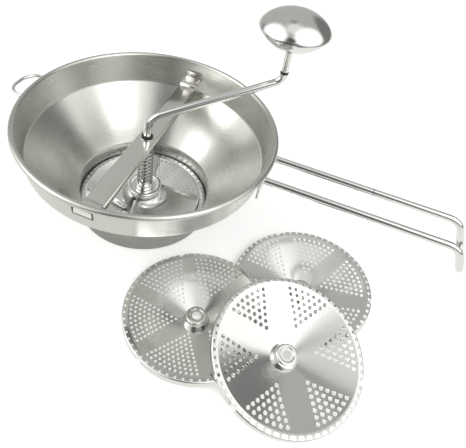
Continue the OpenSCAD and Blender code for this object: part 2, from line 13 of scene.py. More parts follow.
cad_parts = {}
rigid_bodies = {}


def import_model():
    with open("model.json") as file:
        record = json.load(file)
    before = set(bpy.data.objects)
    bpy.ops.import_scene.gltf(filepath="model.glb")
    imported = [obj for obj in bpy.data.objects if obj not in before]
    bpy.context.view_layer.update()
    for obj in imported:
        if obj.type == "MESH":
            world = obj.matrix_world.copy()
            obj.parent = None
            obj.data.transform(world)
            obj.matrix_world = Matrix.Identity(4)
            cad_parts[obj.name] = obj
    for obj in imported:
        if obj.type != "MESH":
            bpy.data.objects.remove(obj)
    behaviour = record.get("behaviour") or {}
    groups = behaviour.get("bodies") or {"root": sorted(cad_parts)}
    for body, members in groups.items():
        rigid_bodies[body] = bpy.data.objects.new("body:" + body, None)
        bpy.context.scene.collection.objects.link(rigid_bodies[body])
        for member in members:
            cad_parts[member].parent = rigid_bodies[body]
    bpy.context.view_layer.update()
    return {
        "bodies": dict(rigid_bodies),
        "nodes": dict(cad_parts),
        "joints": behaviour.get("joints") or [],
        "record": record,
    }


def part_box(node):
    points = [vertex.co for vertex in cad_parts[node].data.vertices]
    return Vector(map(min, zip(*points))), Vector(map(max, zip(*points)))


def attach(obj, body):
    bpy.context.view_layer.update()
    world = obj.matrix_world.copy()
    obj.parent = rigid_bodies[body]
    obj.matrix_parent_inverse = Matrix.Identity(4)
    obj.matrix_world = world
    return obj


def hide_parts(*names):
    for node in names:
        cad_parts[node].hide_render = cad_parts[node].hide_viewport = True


log = logging.getLogger("food_mill")

MM = 0.001
Point = tuple[float, float]
FULL_TURN = 2 * math.pi
BORE_R = 3.8
NOTCH_ANGLES = (5.0, 125.0, 245.0)


# === the workbench: how pieces are shaped ====================================


class Smooth(Enum):
    """The angle in degrees past which a piece's edges stay sharp."""

    SHARP_EDGES = 30.0
    SOFT_EDGES = 50.0


class Bench:
    """Shapes meshes with Blender's own tools, in millimetres of the part's frame."""

    @staticmethod
    def clear() -> None:
        """Leaves edit mode and selects nothing."""
        if bpy.context.object and bpy.context.object.mode != "OBJECT":
            bpy.ops.object.mode_set(mode="OBJECT")
        bpy.ops.object.select_all(action="DESELECT")

    @staticmethod
    def pick(*pieces: bpy.types.Object) -> None:
        """Selects only these pieces and makes the first one active."""
        Bench.clear()
        for piece in pieces:
            piece.select_set(True)
        bpy.context.view_layer.objects.active = pieces[0]

    @staticmethod
    def named(name: str) -> bpy.types.Object:
        """Names the active object and its mesh, and returns it."""
        piece = bpy.context.object
        piece.name = name
        piece.data.name = name
        return piece

    @staticmethod
    def close_up(gap: float = 1e-6) -> None:
        """Merges doubles, turns the faces outwards and leaves edit mode."""
        bpy.ops.mesh.select_all(action="SELECT")
        bpy.ops.mesh.remove_doubles(threshold=gap)
        bpy.ops.mesh.normals_make_consistent(inside=False)
        bpy.ops.object.mode_set(mode="OBJECT")

    @staticmethod
    def pull(by: Vector) -> None:
        """Extrudes what is selected by a distance in millimetres."""
        bpy.ops.mesh.extrude_region_move(TRANSFORM_OT_translate={"value": by * MM})

    @staticmethod
    def draw(name: str, points: list[Vector], gap: float = 1e-7) -> bpy.types.Object:
        """Draws a chain of edges.

        Args:
            name: The piece's name.
            points: The chain's points, in millimetres.
            gap: Distance in metres under which points are merged.

        Returns:
            The new object, in edit mode with the whole chain selected.
        """
        Bench.clear()
        bpy.ops.mesh.primitive_plane_add(size=MM, location=(0, 0, 0))
        piece = Bench.named(name)
        bpy.ops.object.mode_set(mode="EDIT")
        bpy.ops.mesh.select_mode(type="VERT")
        bpy.ops.mesh.select_all(action="SELECT")
        bpy.ops.mesh.merge(type="CENTER")
        bpy.ops.transform.translate(value=points[0] * MM)
        for a, b in zip(points, points[1:]):
            Bench.pull(b - a)
        bpy.ops.mesh.select_all(action="SELECT")
        bpy.ops.mesh.remove_doubles(threshold=gap)
        bpy.ops.mesh.select_all(action="SELECT")
        return piece

    @staticmethod
    def turned(name: str, profile: list[Point], steps: int = 96) -> bpy.types.Object:
        """Turns a closed profile round the vertical axis.

        Args:
            name: The piece's name.
            profile: Radius and height of each point, in millimetres.
            steps: Faces round the axis.

        Returns:
            The turned piece.
        """
        points = [Vector((r, 0, z)) for r, z in profile]
        piece = Bench.draw(name, points + points[:1])
        bpy.ops.mesh.spin(steps=steps, angle=FULL_TURN, center=(0, 0, 0), axis=(0, 0, 1))
        Bench.close_up()
        return piece

    @staticmethod
    def modify(piece: bpy.types.Object, kind: str, **values: object) -> None:
        """Adds a modifier with these values and applies it."""
        Bench.pick(piece)
        modifier = piece.modifiers.new(kind.title(), kind)
        for key, value in values.items():
            setattr(modifier, key, value)
        bpy.ops.object.modifier_apply(modifier=modifier.name)

    @staticmethod
    def cut(piece: bpy.types.Object, cutter: bpy.types.Object) -> None:
        """Takes the cutter's volume out of the piece and removes the cutter."""
        Bench.modify(piece, "BOOLEAN", object=cutter, operation="DIFFERENCE", solver="MANIFOLD")
        bpy.data.objects.remove(cutter, do_unlink=True)

    @staticmethod
    def join(name: str, pieces: list[bpy.types.Object]) -> bpy.types.Object:
        """Joins pieces into one object under a name."""
        Bench.pick(*pieces)
        if len(pieces) > 1:
            bpy.ops.object.join()
        return Bench.named(name)

    @staticmethod
    def settle(piece: bpy.types.Object, at: Vector | None = None, turn: float | None = None) -> None:
        """Applies a piece's place, so that it is all in its mesh.

        Args:
            piece: The piece.
            at: Where it is moved first, in millimetres.
            turn: How far it is turned first about the vertical, in radians.
        """
        if at is not None:
            piece.location = at * MM
        if turn is not None:
            piece.rotation_euler = (0, 0, turn)
        Bench.pick(piece)
        bpy.ops.object.transform_apply(location=True, rotation=True, scale=True)

    @staticmethod
    def shade(piece: bpy.types.Object, smooth: Smooth) -> None:
        """Shades a piece smooth, with its sharp edges kept."""
        Bench.pick(piece)
        bpy.ops.object.shade_smooth_by_angle(angle=math.radians(smooth.value))

    @staticmethod
    def block(name: str, low: Vector, high: Vector, edge: float = 0.0) -> bpy.types.Object:
        """A box between two corners in millimetres, with rounded edges."""
        Bench.clear()
        size = high - low
        bpy.ops.mesh.primitive_cube_add(size=1, location=(low + high) / 2 * MM, scale=size * MM)
        piece = Bench.named(name)
        Bench.settle(piece)
        if edge:
            Bench.modify(piece, "BEVEL", width=edge * MM, segments=4, limit_method="ANGLE")
        return piece


class Bender:
    """Draws a round rod along straight runs and bends, as on a bending bench."""

    SIDES = 32
    BEND_STEP = math.radians(5)

    def __init__(self, name: str, radius: float, at: Vector, along: Vector, aside: Vector) -> None:
        """Starts the rod.

        Args:
            name: The piece's name.
            radius: The rod's radius in millimetres.
            at: Where the rod starts.
            along: The direction that it leaves in.
            aside: The direction that later bends turn towards.
        """
        Bench.clear()
        self.at, self.along, self.aside = at.copy(), along.normalized(), aside.normalized()
        turn = Matrix((self.aside, self.along.cross(self.aside), self.along)).transposed().to_euler()
        bpy.ops.mesh.primitive_circle_add(
            vertices=self.SIDES, radius=radius * MM, fill_type="NGON", location=at * MM, rotation=turn)
        self.piece = Bench.named(name)
        Bench.settle(self.piece)
        bpy.ops.object.mode_set(mode="EDIT")
        bpy.ops.mesh.select_mode(type="FACE")
        bpy.ops.mesh.select_all(action="SELECT")

    def run(self, length: float) -> "Bender":
        """Goes straight on for a length."""
        Bench.pull(self.along * length)
        self.at += self.along * length
        return self

    def bend(self, radius: float, degrees: float) -> "Bender":
        """Bends towards the aside direction round a radius."""
        axis = self.along.cross(self.aside)
        centre = self.at + self.aside * radius
        angle = math.radians(degrees)
        bpy.ops.mesh.spin(steps=max(2, round(angle / self.BEND_STEP)), angle=angle,
                          center=centre * MM, axis=-axis)
        turn = Matrix.Rotation(angle, 3, axis)
        self.at = centre + turn @ (self.at - centre)
        self.along, self.aside = turn @ self.along, turn @ self.aside
        return self

    def swing(self, degrees: float) -> "Bender":
        """Turns the aside direction round the rod."""
        self.aside = Matrix.Rotation(math.radians(degrees), 3, self.along) @ self.aside
        return self

    def taper(self, scale: float) -> "Bender":
        """Scales the rod's end face, for a chamfer or a neck."""
        bpy.ops.transform.resize(value=(scale, scale, scale), center_override=self.at * MM)
        return self

    def step(self, scale: float) -> "Bender":
        """Necks the rod down at a sharp shoulder."""
        Bench.pull(Vector())
        return self.taper(scale)

    def done(self) -> bpy.types.Object:
        """Closes the mesh."""
        Bench.close_up()
        return self.piece


def rounded(points: list[Point], radii: dict[int, float], steps: int = 8) -> list[Point]:
    """Rounds some corners of an open outline.

    Args:
        points: The outline's corners.
        radii: Radius for each rounded corner, by its place in the outline.
        steps: Faces in each arc.

    Returns:
        The outline with its arcs.
    """
    out: list[Point] = []
    for i, point in enumerate(points):
        if i not in radii:
            out.append(point)
            continue
        b = Vector(point)
        u = (Vector(points[i - 1]) - b).normalized()
        v = (Vector(points[i + 1]) - b).normalized()
        half = u.angle(v) / 2
        radius = radii[i]
        centre = b + (u + v).normalized() * radius / math.sin(half)
        p = b + u * radius / math.tan(half) - centre
        q = b + v * radius / math.tan(half) - centre
        turn = math.atan2(p.x * q.y - p.y * q.x, p.dot(q))
        for k in range(steps + 1):
            a = math.atan2(p.y, p.x) + turn * k / steps
            out.append((centre.x + radius * math.cos(a), centre.y + radius * math.sin(a)))
    return out


def beside(path: list[Point], distance: float) -> list[Point]:
    """The path moved sideways to its left, mitred at its corners."""
    points = [Vector(p) for p in path]
    out: list[Point] = []
    for i, point in enumerate(points):
        a = (point - points[i - 1]).normalized() if i else (points[1] - point).normalized()
        b = (points[i + 1] - point).normalized() if i + 1 < len(points) else a
        left = Vector((-a.y - b.y, a.x + b.x)).normalized()
        moved = point + left * distance / max(0.2, left.dot(Vector((-a.y, a.x))))
        out.append((moved.x, moved.y))
    return out


def arc(centre: Point, radius: float, start: float, end: float, steps: int) -> list[Point]:
    """Points on an arc from one angle to another, in degrees."""
    angles = [math.radians(start + (end - start) * k / steps) for k in range(steps + 1)]
    return [(centre[0] + radius * math.cos(a), centre[1] + radius * math.sin(a)) for a in angles]


def heights(node: str) -> Point:
    """A node's lowest and highest point, in millimetres."""
    low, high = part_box(node)
    return low[2] / MM, high[2] / MM


# === finishes ================================================================


class Nodes:
    """Places and links shader nodes in a tree."""

    def __init__(self, tree: bpy.types.NodeTree) -> None:
        """Takes the tree that the nodes go into."""
        self.tree = tree

    def add(self, kind: str, values: dict | None = None, **inputs: object) -> bpy.types.Node:
        """Adds a node.

        Args:
            kind: The node's type name.
            values: The node's own settings.
            **inputs: Socket values or output sockets to link; names use _ for a space, and
                i0, i1 stand for the first and second socket.

        Returns:
            The new node.
        """
        node = self.tree.nodes.new(kind)
        for key, value in (values or {}).items():
            setattr(node, key, value)
        for key, value in inputs.items():
            number = key[1:]
            self.put(node.inputs[int(number) if number.isdigit() else key.replace("_", " ")], value)
        return node

    def put(self, socket: bpy.types.NodeSocket, value: object) -> None:
        """Links a socket to another one, or sets its value."""
        if isinstance(value, bpy.types.NodeSocket):
            self.tree.links.new(value, socket)
        else:
            socket.default_value = value

    def math(self, operation: str, first: object, second: object = 0.0) -> bpy.types.NodeSocket:
        """The result of a Math node."""
        return self.add("ShaderNodeMath", {"operation": operation}, i0=first, i1=second).outputs[0]

    def spread(self, value: object, low: float, high: float) -> bpy.types.NodeSocket:
        """Maps a value from 0..1 to a range."""
        return self.add("ShaderNodeMapRange", i0=value, i3=low, i4=high).outputs[0]

    def soft_step(self, value: object, start: float, end: object, low: float, high: float) -> bpy.types.NodeSocket:
        """Goes softly from low to high while the value goes from start to end."""
        return self.add("ShaderNodeMapRange", {"interpolation_type": "SMOOTHSTEP"}, i0=value, i1=start, i2=end,
                        i3=low, i4=high).outputs[0]

    def from_axis(self, part: bpy.types.Node) -> bpy.types.NodeSocket:
        """Distance from the vertical axis, of a point that is split in its parts."""
        x, y = part.outputs[0], part.outputs[1]
        return self.math("SQRT", self.math("ADD", self.math("MULTIPLY", x, x), self.math("MULTIPLY", y, y)))

    def blend(self, share: object, first: object, second: object) -> bpy.types.NodeSocket:
        """Mixes two colours, each given as a value or as a socket."""
        node = self.add("ShaderNodeMix", {"data_type": "RGBA"}, i0=share)
        for socket, colour in zip([s for s in node.inputs if s.type == "RGBA"], (first, second)):
            self.put(socket, colour)
        return next(s for s in node.outputs if s.type == "RGBA")


class Group(Nodes):
    """A shader node group that puts out numbers."""

    def __init__(self, name: str, ins: dict[str, float | None], outs: list[str]) -> None:
        """Starts the group.

        Args:
            name: The group's name.
            ins: Input names with their default numbers, or None for a vector.
            outs: Names of the outputs.
        """
        super().__init__(bpy.data.node_groups.new(name, "ShaderNodeTree"))
        for label, default in ins.items():
            kind = "NodeSocketVector" if default is None else "NodeSocketFloat"
            socket = self.tree.interface.new_socket(name=label, in_out="INPUT", socket_type=kind)
            if default is not None:
                socket.default_value = default
        for label in outs:
            self.tree.interface.new_socket(name=label, in_out="OUTPUT", socket_type="NodeSocketFloat")
        self.given = self.tree.nodes.new("NodeGroupInput").outputs
        self.result = self.tree.nodes.new("NodeGroupOutput").inputs


class Effects:
    """The shader node groups that several finishes share, each built once."""

    LINES_PER_METRE = 2500.0
    PATCHES_PER_METRE = 22.0
    SMEARS_PER_METRE = 40.0
    HAIRS_PER_METRE = 1400.0

    def __init__(self) -> None:
        """Builds the groups."""
        self.rings = self._rings()
        self.handling = self._handling()

    def _rings(self) -> bpy.types.NodeTree:
        """Fine turning lines that run round an upright axis, and broad faint patches."""
        g = Group("turning_lines", {"Vector": None}, ["Height", "Patch"])
        part = g.add("ShaderNodeSeparateXYZ", Vector=g.given["Vector"])
        angle = g.math("ARCTAN2", part.outputs[1], part.outputs[0])
        line = g.add("ShaderNodeCombineXYZ", X=g.math("MULTIPLY", g.from_axis(part), self.LINES_PER_METRE),
                     Y=g.math("MULTIPLY", part.outputs[2], self.LINES_PER_METRE),
                     Z=g.math("MULTIPLY", g.math("SINE", angle), 0.6))
        lines = g.add("ShaderNodeTexNoise", Vector=line.outputs[0], Scale=1.0, Detail=3.0, Roughness=0.6)
        patch = g.add("ShaderNodeTexNoise", Vector=g.given["Vector"], Scale=self.PATCHES_PER_METRE, Detail=2.0)
        g.put(g.result["Height"], lines.outputs[0])
        g.put(g.result["Patch"], patch.outputs[0])
        return g.tree

    def _handling(self) -> bpy.types.NodeTree:
        """Faint smears and hairlines left by wiping and use."""
        g = Group("handling_marks", {"Vector": None, "Scale": self.SMEARS_PER_METRE}, ["Smear", "Hairline"])
        smear = g.add("ShaderNodeTexNoise", Vector=g.given["Vector"], Scale=g.given["Scale"], Detail=4.0,
                      Roughness=0.65)
        stretched = g.add("ShaderNodeMapping", {"vector_type": "TEXTURE"}, Vector=g.given["Vector"],
                          Rotation=(0.4, 0.9, 0.3), Scale=(1.0, 14.0, 1.0))
        lines = g.add("ShaderNodeTexNoise", Vector=stretched.outputs[0], Scale=self.HAIRS_PER_METRE, Detail=2.0)
        g.put(g.result["Smear"], smear.outputs[0])
        g.put(g.result["Hairline"], g.spread(lines.outputs[0], -1.4, 2.0))
        return g.tree


class Coat:
    """A material that is being built."""

    def __init__(self, name: str) -> None:
        """Starts the material with its shader and the object's own coordinates."""
        self.material = bpy.data.materials.new(name)
        self.material.use_nodes = True
        self.nodes = Nodes(self.material.node_tree)
        self.shader = self.material.node_tree.nodes["Principled BSDF"]
        self.place = self.nodes.add("ShaderNodeTexCoord").outputs["Object"]

    def set(self, **values: object) -> None:
        """Sets or links sockets of the shader; names use _ for a space."""
        for key, value in values.items():
            self.nodes.put(self.shader.inputs[key.replace("_", " ")], value)


@dataclass(frozen=True)
class Steel:
    """A stainless steel finish."""

    name: str
    colour: tuple[float, float, float]
    roughness: tuple[float, float]
    anisotropy: float = 0.0
    ring_depth: float = 0.0
    ring_gloss: float = 0.05
    hairline_depth: float = 0.00001
    patch_shade: float = 0.9
    centre: Point = (0.0, 0.0)
    dish: float = 0.0
    dish_r: float = 0.0572

    def make(self, effects: Effects) -> bpy.types.Material:
        """Builds the material.

        Args:
            effects: The shared node groups.

        Returns:
            The new material.
        """
        coat = Coat(self.name)
        n, place = coat.nodes, coat.place
        if self.centre != (0.0, 0.0):
            place = n.add("ShaderNodeVectorMath", {"operation": "SUBTRACT"}, i0=place,
                          i1=(*self.centre, 0.0)).outputs[0]
        rings = n.add("ShaderNodeGroup", {"node_tree": effects.rings}, Vector=place)
        marks = n.add("ShaderNodeGroup", {"node_tree": effects.handling}, Vector=place)
        rough = n.spread(marks.outputs["Smear"], *self.roughness)
        if self.ring_depth:
            rough = n.math("ADD", rough, n.spread(rings.outputs["Height"], -self.ring_gloss, self.ring_gloss))
        dark = tuple(c * self.patch_shade for c in self.colour)
        height = n.math("ADD", n.math("MULTIPLY", rings.outputs["Height"], self.ring_depth),
                        n.math("MULTIPLY", marks.outputs["Hairline"], self.hairline_depth))
        if self.dish:
            reach = n.math("MINIMUM", n.from_axis(n.add("ShaderNodeSeparateXYZ", Vector=place)), self.dish_r)
            height = n.math("ADD", height, n.math("MULTIPLY", reach, self.dish))
        bump = n.add("ShaderNodeBump", Height=height, Strength=1.0, Distance=1.0)
        coat.set(Metallic=1.0, Anisotropic=self.anisotropy, Roughness=rough, Normal=bump.outputs[0],
                 Base_Color=n.blend(rings.outputs["Patch"], (*dark, 1.0), (*self.colour, 1.0)))
        if self.anisotropy:
            tangent = n.add("ShaderNodeTangent", {"direction_type": "RADIAL", "axis": "Z"})
            coat.set(Anisotropic_Rotation=0.25, Tangent=tangent.outputs[0])
        return coat.material


@dataclass(frozen=True)
class Rubber:
    """Matt black rubber."""

    name: str
    colour: tuple[float, float, float]

    def make(self, effects: Effects) -> bpy.types.Material:
        """Builds the material from the shared groups."""
        coat = Coat(self.name)
        n = coat.nodes
        marks = n.add("ShaderNodeGroup", {"node_tree": effects.handling}, Vector=coat.place, Scale=300.0)
        bump = n.add("ShaderNodeBump", Height=marks.outputs["Smear"], Strength=0.2, Distance=0.0002)
        coat.set(Base_Color=(*self.colour, 1.0), Roughness=n.spread(marks.outputs["Smear"], 0.4, 0.65),
                 Normal=bump.outputs[0])
        return coat.material


def disc_steel(name: str, centre: Point = (0.0, 0.0)) -> Steel:
    """The finish of a disc, shaded as a deeper dish about its own centre in metres."""
    return Steel(name, (0.78, 0.78, 0.77), (0.10, 0.17), centre=centre, dish=0.16)


class Finish(Enum):
    """The finishes of the mill, each with its recipe."""

    SPUN = Steel("spun_steel", (0.66, 0.662, 0.63), (0.24, 0.33), anisotropy=0.75, ring_depth=0.000012)
    BAR = Steel("brushed_bar_steel", (0.82, 0.81, 0.765), (0.13, 0.2))
    ROTOR = Steel("brushed_rotor_steel", (0.86, 0.86, 0.85), (0.16, 0.24))
    POLISHED = Steel("polished_steel", (0.82, 0.82, 0.81), (0.05, 0.11))
    FITTED_DISC = disc_steel("fitted_disc_steel")
    MEDIUM_DISC = disc_steel("medium_disc_steel", (0.176, -0.038))
    FINE_DISC = disc_steel("fine_disc_steel", (0.101, -0.105))
    COARSE_DISC = disc_steel("coarse_disc_steel", (0.182, -0.114))
    TURNED = Steel("turned_steel", (0.68, 0.675, 0.65), (0.12, 0.2), ring_depth=0.000004)
    WIRE = Steel("spring_wire_steel", (0.42, 0.42, 0.41), (0.12, 0.22))
    # Nearly black steel: painted shade in the slot frames, and the dark colour of the handle's butt seam.
    DARK = Steel("shadowed_seam_steel", (0.1, 0.1, 0.1), (0.4, 0.5))
    RUBBER = Rubber("black_rubber", (0.012, 0.012, 0.013))


class Dresser:
    """Puts finishes on pieces and hands them to the frame."""

    def __init__(self) -> None:
        """Builds the effects and every finish once."""
        effects = Effects()
        self.materials = {finish: finish.value.make(effects) for finish in Finish}

    def coat(self, piece: bpy.types.Object, finish: Finish) -> None:
        """Gives a piece one finish all over."""
        piece.data.materials.clear()
        piece.data.materials.append(self.materials[finish])

    def hand_in(self, piece: bpy.types.Object, body: str, slot: str, finish: Finish, *nodes: str,
                smooth: Smooth = Smooth.SHARP_EDGES) -> None:
        """Dresses a piece and says what it rides on and stands for.

        Args:
            piece: The finished piece.
            body: The body that it moves with.
            slot: The record's material slot; not used.
            finish: The finish that it wears.
            *nodes: The plain nodes that it replaces.
            smooth: How it is shaded.
        """
        Bench.shade(piece, smooth)
        self.coat(piece, finish)
        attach(piece, body)
        if nodes:
            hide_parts(*nodes)
        log.info("%s: %d faces, rides on %s", piece.name, len(piece.data.polygons), body)

    def keep_node(self, frame: dict, node: str, finish: Finish) -> None:
        """Dresses a node that is shown as it is."""
        self.coat(frame["nodes"][node], finish)
        log.info("%s: shown as built", node)


# === the bowl and what is fixed to it ========================================


@dataclass
class Bowl:
    """The spun bowl with its rolled rim, pressed seat, lugs and slots."""

    sheet: float = 0.9
    bead_r: float = 2.75
    base_r: float = 64.4
    base_h: float = 24.5
    cone_h: float = 48.5
    collar_draft: float = 4.2
    collar_bend_r: float = 6.0
    base_bend_r: float = 4.0
    foot_h: float = 1.2
    seat_w: float = 2.8
    seat_z: float = 5.4
    seat_drop: float = 1.4
    seat_ease: float = 0.3
    press_r: float = 0.9
    slot_w: float = 18.0
    slot_z: float = 85.0
    slot_h: float = 9.0
    slot_edge_r: float = 0.7
    # Width and overlap of the dark frames that paint the shade in the slots.
    slot_gap: float = 0.6
    slot_lap: float = 0.4
    lug_w: float = 3.6
    lug_l: float = 2.6
    lug_low: float = 0.1
    lug_high: float = 5.9
    weld_r: float = 1.3
    weld_gap: float = 37.0
    rim_r: float = field(init=False)
    rim_z: float = field(init=False)

    def __post_init__(self) -> None:
        """Reads the rim's size from the frame."""
        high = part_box("bowl")[1]
        self.rim_r, self.rim_z = high[0] / MM, high[2] / MM

    @property
    def bead(self) -> Point:
        """Centre of the rolled bead."""
        return self.rim_r - self.bead_r, self.rim_z - self.bead_r

    @property
    def cone_top(self) -> float:
        """Height where the cone meets the collar."""
        return self.base_h + self.cone_h

    @property
    def collar_top_r(self) -> float:
        """Outer radius of the collar under the bead."""
        return self.rim_r - 2 * self.bead_r + self.sheet

    def collar_r(self, z: float) -> float:
        """Outer radius of the collar at a height."""
        share = (z - self.cone_top) / (self.bead[1] - self.cone_top)
        return self.collar_top_r - self.collar_draft * (1 - share)

    @property
    def collar_slope(self) -> float:
        """How far the collar leans outwards."""
        return math.atan2(self.collar_draft, self.bead[1] - self.cone_top)

    def profile(self) -> list[Point]:
        """The closed outline of the wall: up outside, round the bead and down inside."""
        low = self.seat_z - self.sheet
        press = self.press_r
        corners = [(self.base_r, 0.0), (self.base_r, self.foot_h), (self.base_r - self.seat_w, low - self.seat_drop),
                   (self.base_r - self.seat_w, low), (self.base_r, low + self.seat_ease), (self.base_r, self.base_h),
                   (self.collar_r(self.cone_top), self.cone_top), (self.collar_top_r, self.bead[1])]
        shelved = rounded(corners, {1: 0.8, 2: press, 3: press, 4: press, 5: self.base_bend_r, 6: self.collar_bend_r})
        inside = beside(shelved, self.sheet)
        plain = [(self.base_r - 0.5, 0.0), (self.base_r, 0.5)] + corners[5:]
        outside = rounded(plain, {2: self.base_bend_r, 3: self.collar_bend_r})
        inside = [(r, z) for r, z in inside if z < self.bead[1] - 0.05]
        outside = [(r, z) for r, z in outside if z < self.bead[1] - 3.0]
        outside.append((self.collar_r(self.bead[1] - 2.3), self.bead[1] - 2.3))
        roll = arc(self.bead, self.bead_r, -138, 180, 40)
        return outside + roll + inside[::-1]

    def wall(self) -> bpy.types.Object:
        """The bowl's wall with its two slots."""
        piece = Bench.turned("bowl_wall", self.profile(), steps=192)
        half = self.slot_w / 2
        for side in (-1, 1):
            near, far = sorted((side * (self.rim_r - 16), side * (self.rim_r + 3)))
            Bench.cut(piece, Bench.block("slot_cutter", Vector((-half, near, self.slot_z)),
                                         Vector((half, far, self.slot_z + self.slot_h)), edge=self.slot_edge_r))
        return piece

    def lugs(self) -> bpy.types.Object:
        """The three lugs that keep the disc from turning."""
        inner, outer = self.base_r - self.sheet - self.lug_l, self.base_r - self.sheet / 2
        lugs = []
        for number, angle in enumerate(NOTCH_ANGLES):
            lug = Bench.block(f"lug_{number}", Vector((inner, -self.lug_w / 2, self.seat_z + self.lug_low)),
                              Vector((outer, self.lug_w / 2, self.seat_z + self.lug_high)), edge=0.8)
            Bench.settle(lug, turn=math.radians(angle))
            lugs.append(lug)
        return Bench.join("locating_lugs", lugs)

    def weld_marks(self) -> bpy.types.Object:
        """The faint round marks inside the collar where the rest loop is welded."""
        marks = []
        z = self.rim_z - 2 * self.bead_r - 1.8
        radius = self.collar_r(z) - self.sheet
        for side in (-1, 1):
            angle = math.pi - side * math.asin(self.weld_gap / 2 / radius)
            Bench.clear()
            bpy.ops.mesh.primitive_uv_sphere_add(
                segments=20, ring_count=10, radius=self.weld_r * MM,
                location=Vector((radius * math.cos(angle), radius * math.sin(angle), z)) * MM)
            mark = Bench.named("weld_mark")
            mark.scale = (0.25, 1.0, 1.3)
            Bench.settle(mark, turn=angle)
            marks.append(mark)
        return Bench.join("weld_marks", marks)

    def slot_shade_frames(self) -> bpy.types.Object:
        """Dark frames that paint the shade in the gap round the bar's tab in each slot."""
        frames = []
        half, lap, gap = self.slot_w / 2, self.slot_lap, self.slot_gap
        middle = self.collar_r(self.slot_z + self.slot_h / 2)
        for side in (-1, 1):
            near, far = sorted((side * (middle - self.sheet - 0.3), side * (middle + 0.22)))
            frame = Bench.block("slot_shade_frame", Vector((-half - lap, near, self.slot_z - lap)),
                                Vector((half + lap, far, self.slot_z + self.slot_h + lap)), edge=0.8)
            inside = Bench.block("slot_shade_frame_cutter", Vector((-half + gap, near - 3, self.slot_z + gap)),
                                 Vector((half - gap, far + 3, self.slot_z + self.slot_h - gap)), edge=0.5)
            Bench.cut(frame, inside)
            pivot = Vector((0, side * middle, self.slot_z + self.slot_h / 2)) * MM
            lean = Matrix.Rotation(-side * self.collar_slope, 4, "X")
            frame.matrix_world = Matrix.Translation(pivot) @ lean @ Matrix.Translation(-pivot)
            Bench.settle(frame)
            frames.append(frame)
        return Bench.join("slot_shade_frames", frames)

    def build(self, dresser: Dresser) -> None:
        """Makes and dresses the bowl's pieces."""
        # Painted shade: dark frames in the slots stand for the shadow in the gap round each tab.
        dresser.hand_in(self.slot_shade_frames(), "mill", "bowl_steel", Finish.DARK)
        dresser.hand_in(self.wall(), "mill", "bowl_steel", Finish.SPUN, "bowl")
        dresser.hand_in(self.lugs(), "mill", "bowl_steel", Finish.BAR)
        dresser.hand_in(self.weld_marks(), "mill", "bowl_steel", Finish.BAR, smooth=Smooth.SOFT_EDGES)


@dataclass
class Handles:
    """The long handle loop on its plate, and the small rest loop opposite."""

    bowl: Bowl
    rod_r: float = 3.25
    gap: float = 32.0
    reach: float = 272.0
    bend_r: float = 14.0
    drop_angle: float = 70.0
    drop_run: float = 6.0
    seam_x: float = 207.0
    wire_r: float = 1.75
    loop_w: float = 37.0
    loop_reach: float = 137.0
    loop_corner_r: float = 15.0

    @property
    def plate_x(self) -> float:
        """Where the plate's outer face lies."""
        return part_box("handle_plate")[1][0] / MM

    @property
    def rod_z(self) -> float:
        """Height of the rod's axis."""
        return self.bowl.rim_z - 2 * self.bowl.bead_r - self.rod_r

    def plate(self) -> bpy.types.Object:
        """The flat plate that the handle's rods are welded to."""
        low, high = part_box("handle_plate")
        return Bench.block("handle_back_plate", Vector(low) / MM, Vector(high) / MM, edge=0.8)

    def rod(self) -> bpy.types.Object:
        """The bent rod, in one length."""
        start = self.plate_x - 0.3
        straight = self.reach - start
        bender = Bender("handle_rod", self.rod_r, Vector((start, self.gap / 2, self.rod_z)), Vector((1, 0, 0)),
                        Vector((0, 0, -1)))
        bender.run(straight).bend(self.bend_r, self.drop_angle).run(self.drop_run)
        bender.swing(-90).bend(self.gap / 2, 180).swing(90)
        bender.run(self.drop_run).bend(self.bend_r, self.drop_angle).run(straight)
        return bender.done()

    def seam(self) -> bpy.types.Object:
        """The fine butt seam where the rod's two ends meet."""
        Bench.clear()
        bpy.ops.mesh.primitive_cylinder_add(vertices=32, radius=(self.rod_r + 0.03) * MM, depth=0.5 * MM,
                                            location=Vector((self.seam_x, self.gap / 2, self.rod_z)) * MM,
                                            rotation=(0, math.pi / 2, 0))
        piece = Bench.named("handle_butt_seam")
        Bench.settle(piece)
        return piece

    def weld_fillets(self) -> bpy.types.Object:
        """The small weld collars where the rods meet the plate."""
        outline = [(self.rod_r + more, z) for more, z in
                   ((-0.3, 0.0), (0.9, 0.0), (0.5, 0.35), (0.15, 0.9), (-0.3, 1.2))]
        collars = []
        for side in (-1, 1):
            collar = Bench.turned("weld_collar", outline, steps=32)
            collar.rotation_euler = (0, math.pi / 2, 0)
            Bench.settle(collar, at=Vector((self.plate_x, side * self.gap / 2, self.rod_z)))
            collars.append(collar)
        return Bench.join("handle_weld_collars", collars)

    def rest_loop(self) -> bpy.types.Object:
        """The wire loop that lies on a pan's edge."""
        half = self.loop_w / 2
        z = self.bowl.rim_z - 2 * self.bowl.bead_r - self.wire_r
        start = math.sqrt(self.bowl.collar_r(z) ** 2 - half ** 2) - 0.2
        leg = self.loop_reach - self.loop_corner_r - start
        bender = Bender("rest_loop_wire", self.wire_r, Vector((-start, half, z)), Vector((-1, 0, 0)),
                        Vector((0, -1, 0)))
        bender.run(leg).bend(self.loop_corner_r, 90).run(self.loop_w - 2 * self.loop_corner_r)
        bender.bend(self.loop_corner_r, 90).run(leg)
        return bender.done()

    def build(self, dresser: Dresser) -> None:
        """Makes and dresses the handle's and the loop's pieces."""
        dresser.hand_in(self.plate(), "mill", "polished_steel", Finish.BAR, "handle_plate")
        dresser.hand_in(self.rod(), "mill", "polished_steel", Finish.POLISHED, "handle_loop")
        dresser.hand_in(self.seam(), "mill", "polished_steel", Finish.DARK)
        dresser.hand_in(self.weld_fillets(), "mill", "polished_steel", Finish.BAR, smooth=Smooth.SOFT_EDGES)
        dresser.hand_in(self.rest_loop(), "mill", "polished_steel", Finish.POLISHED, "rest_loop")


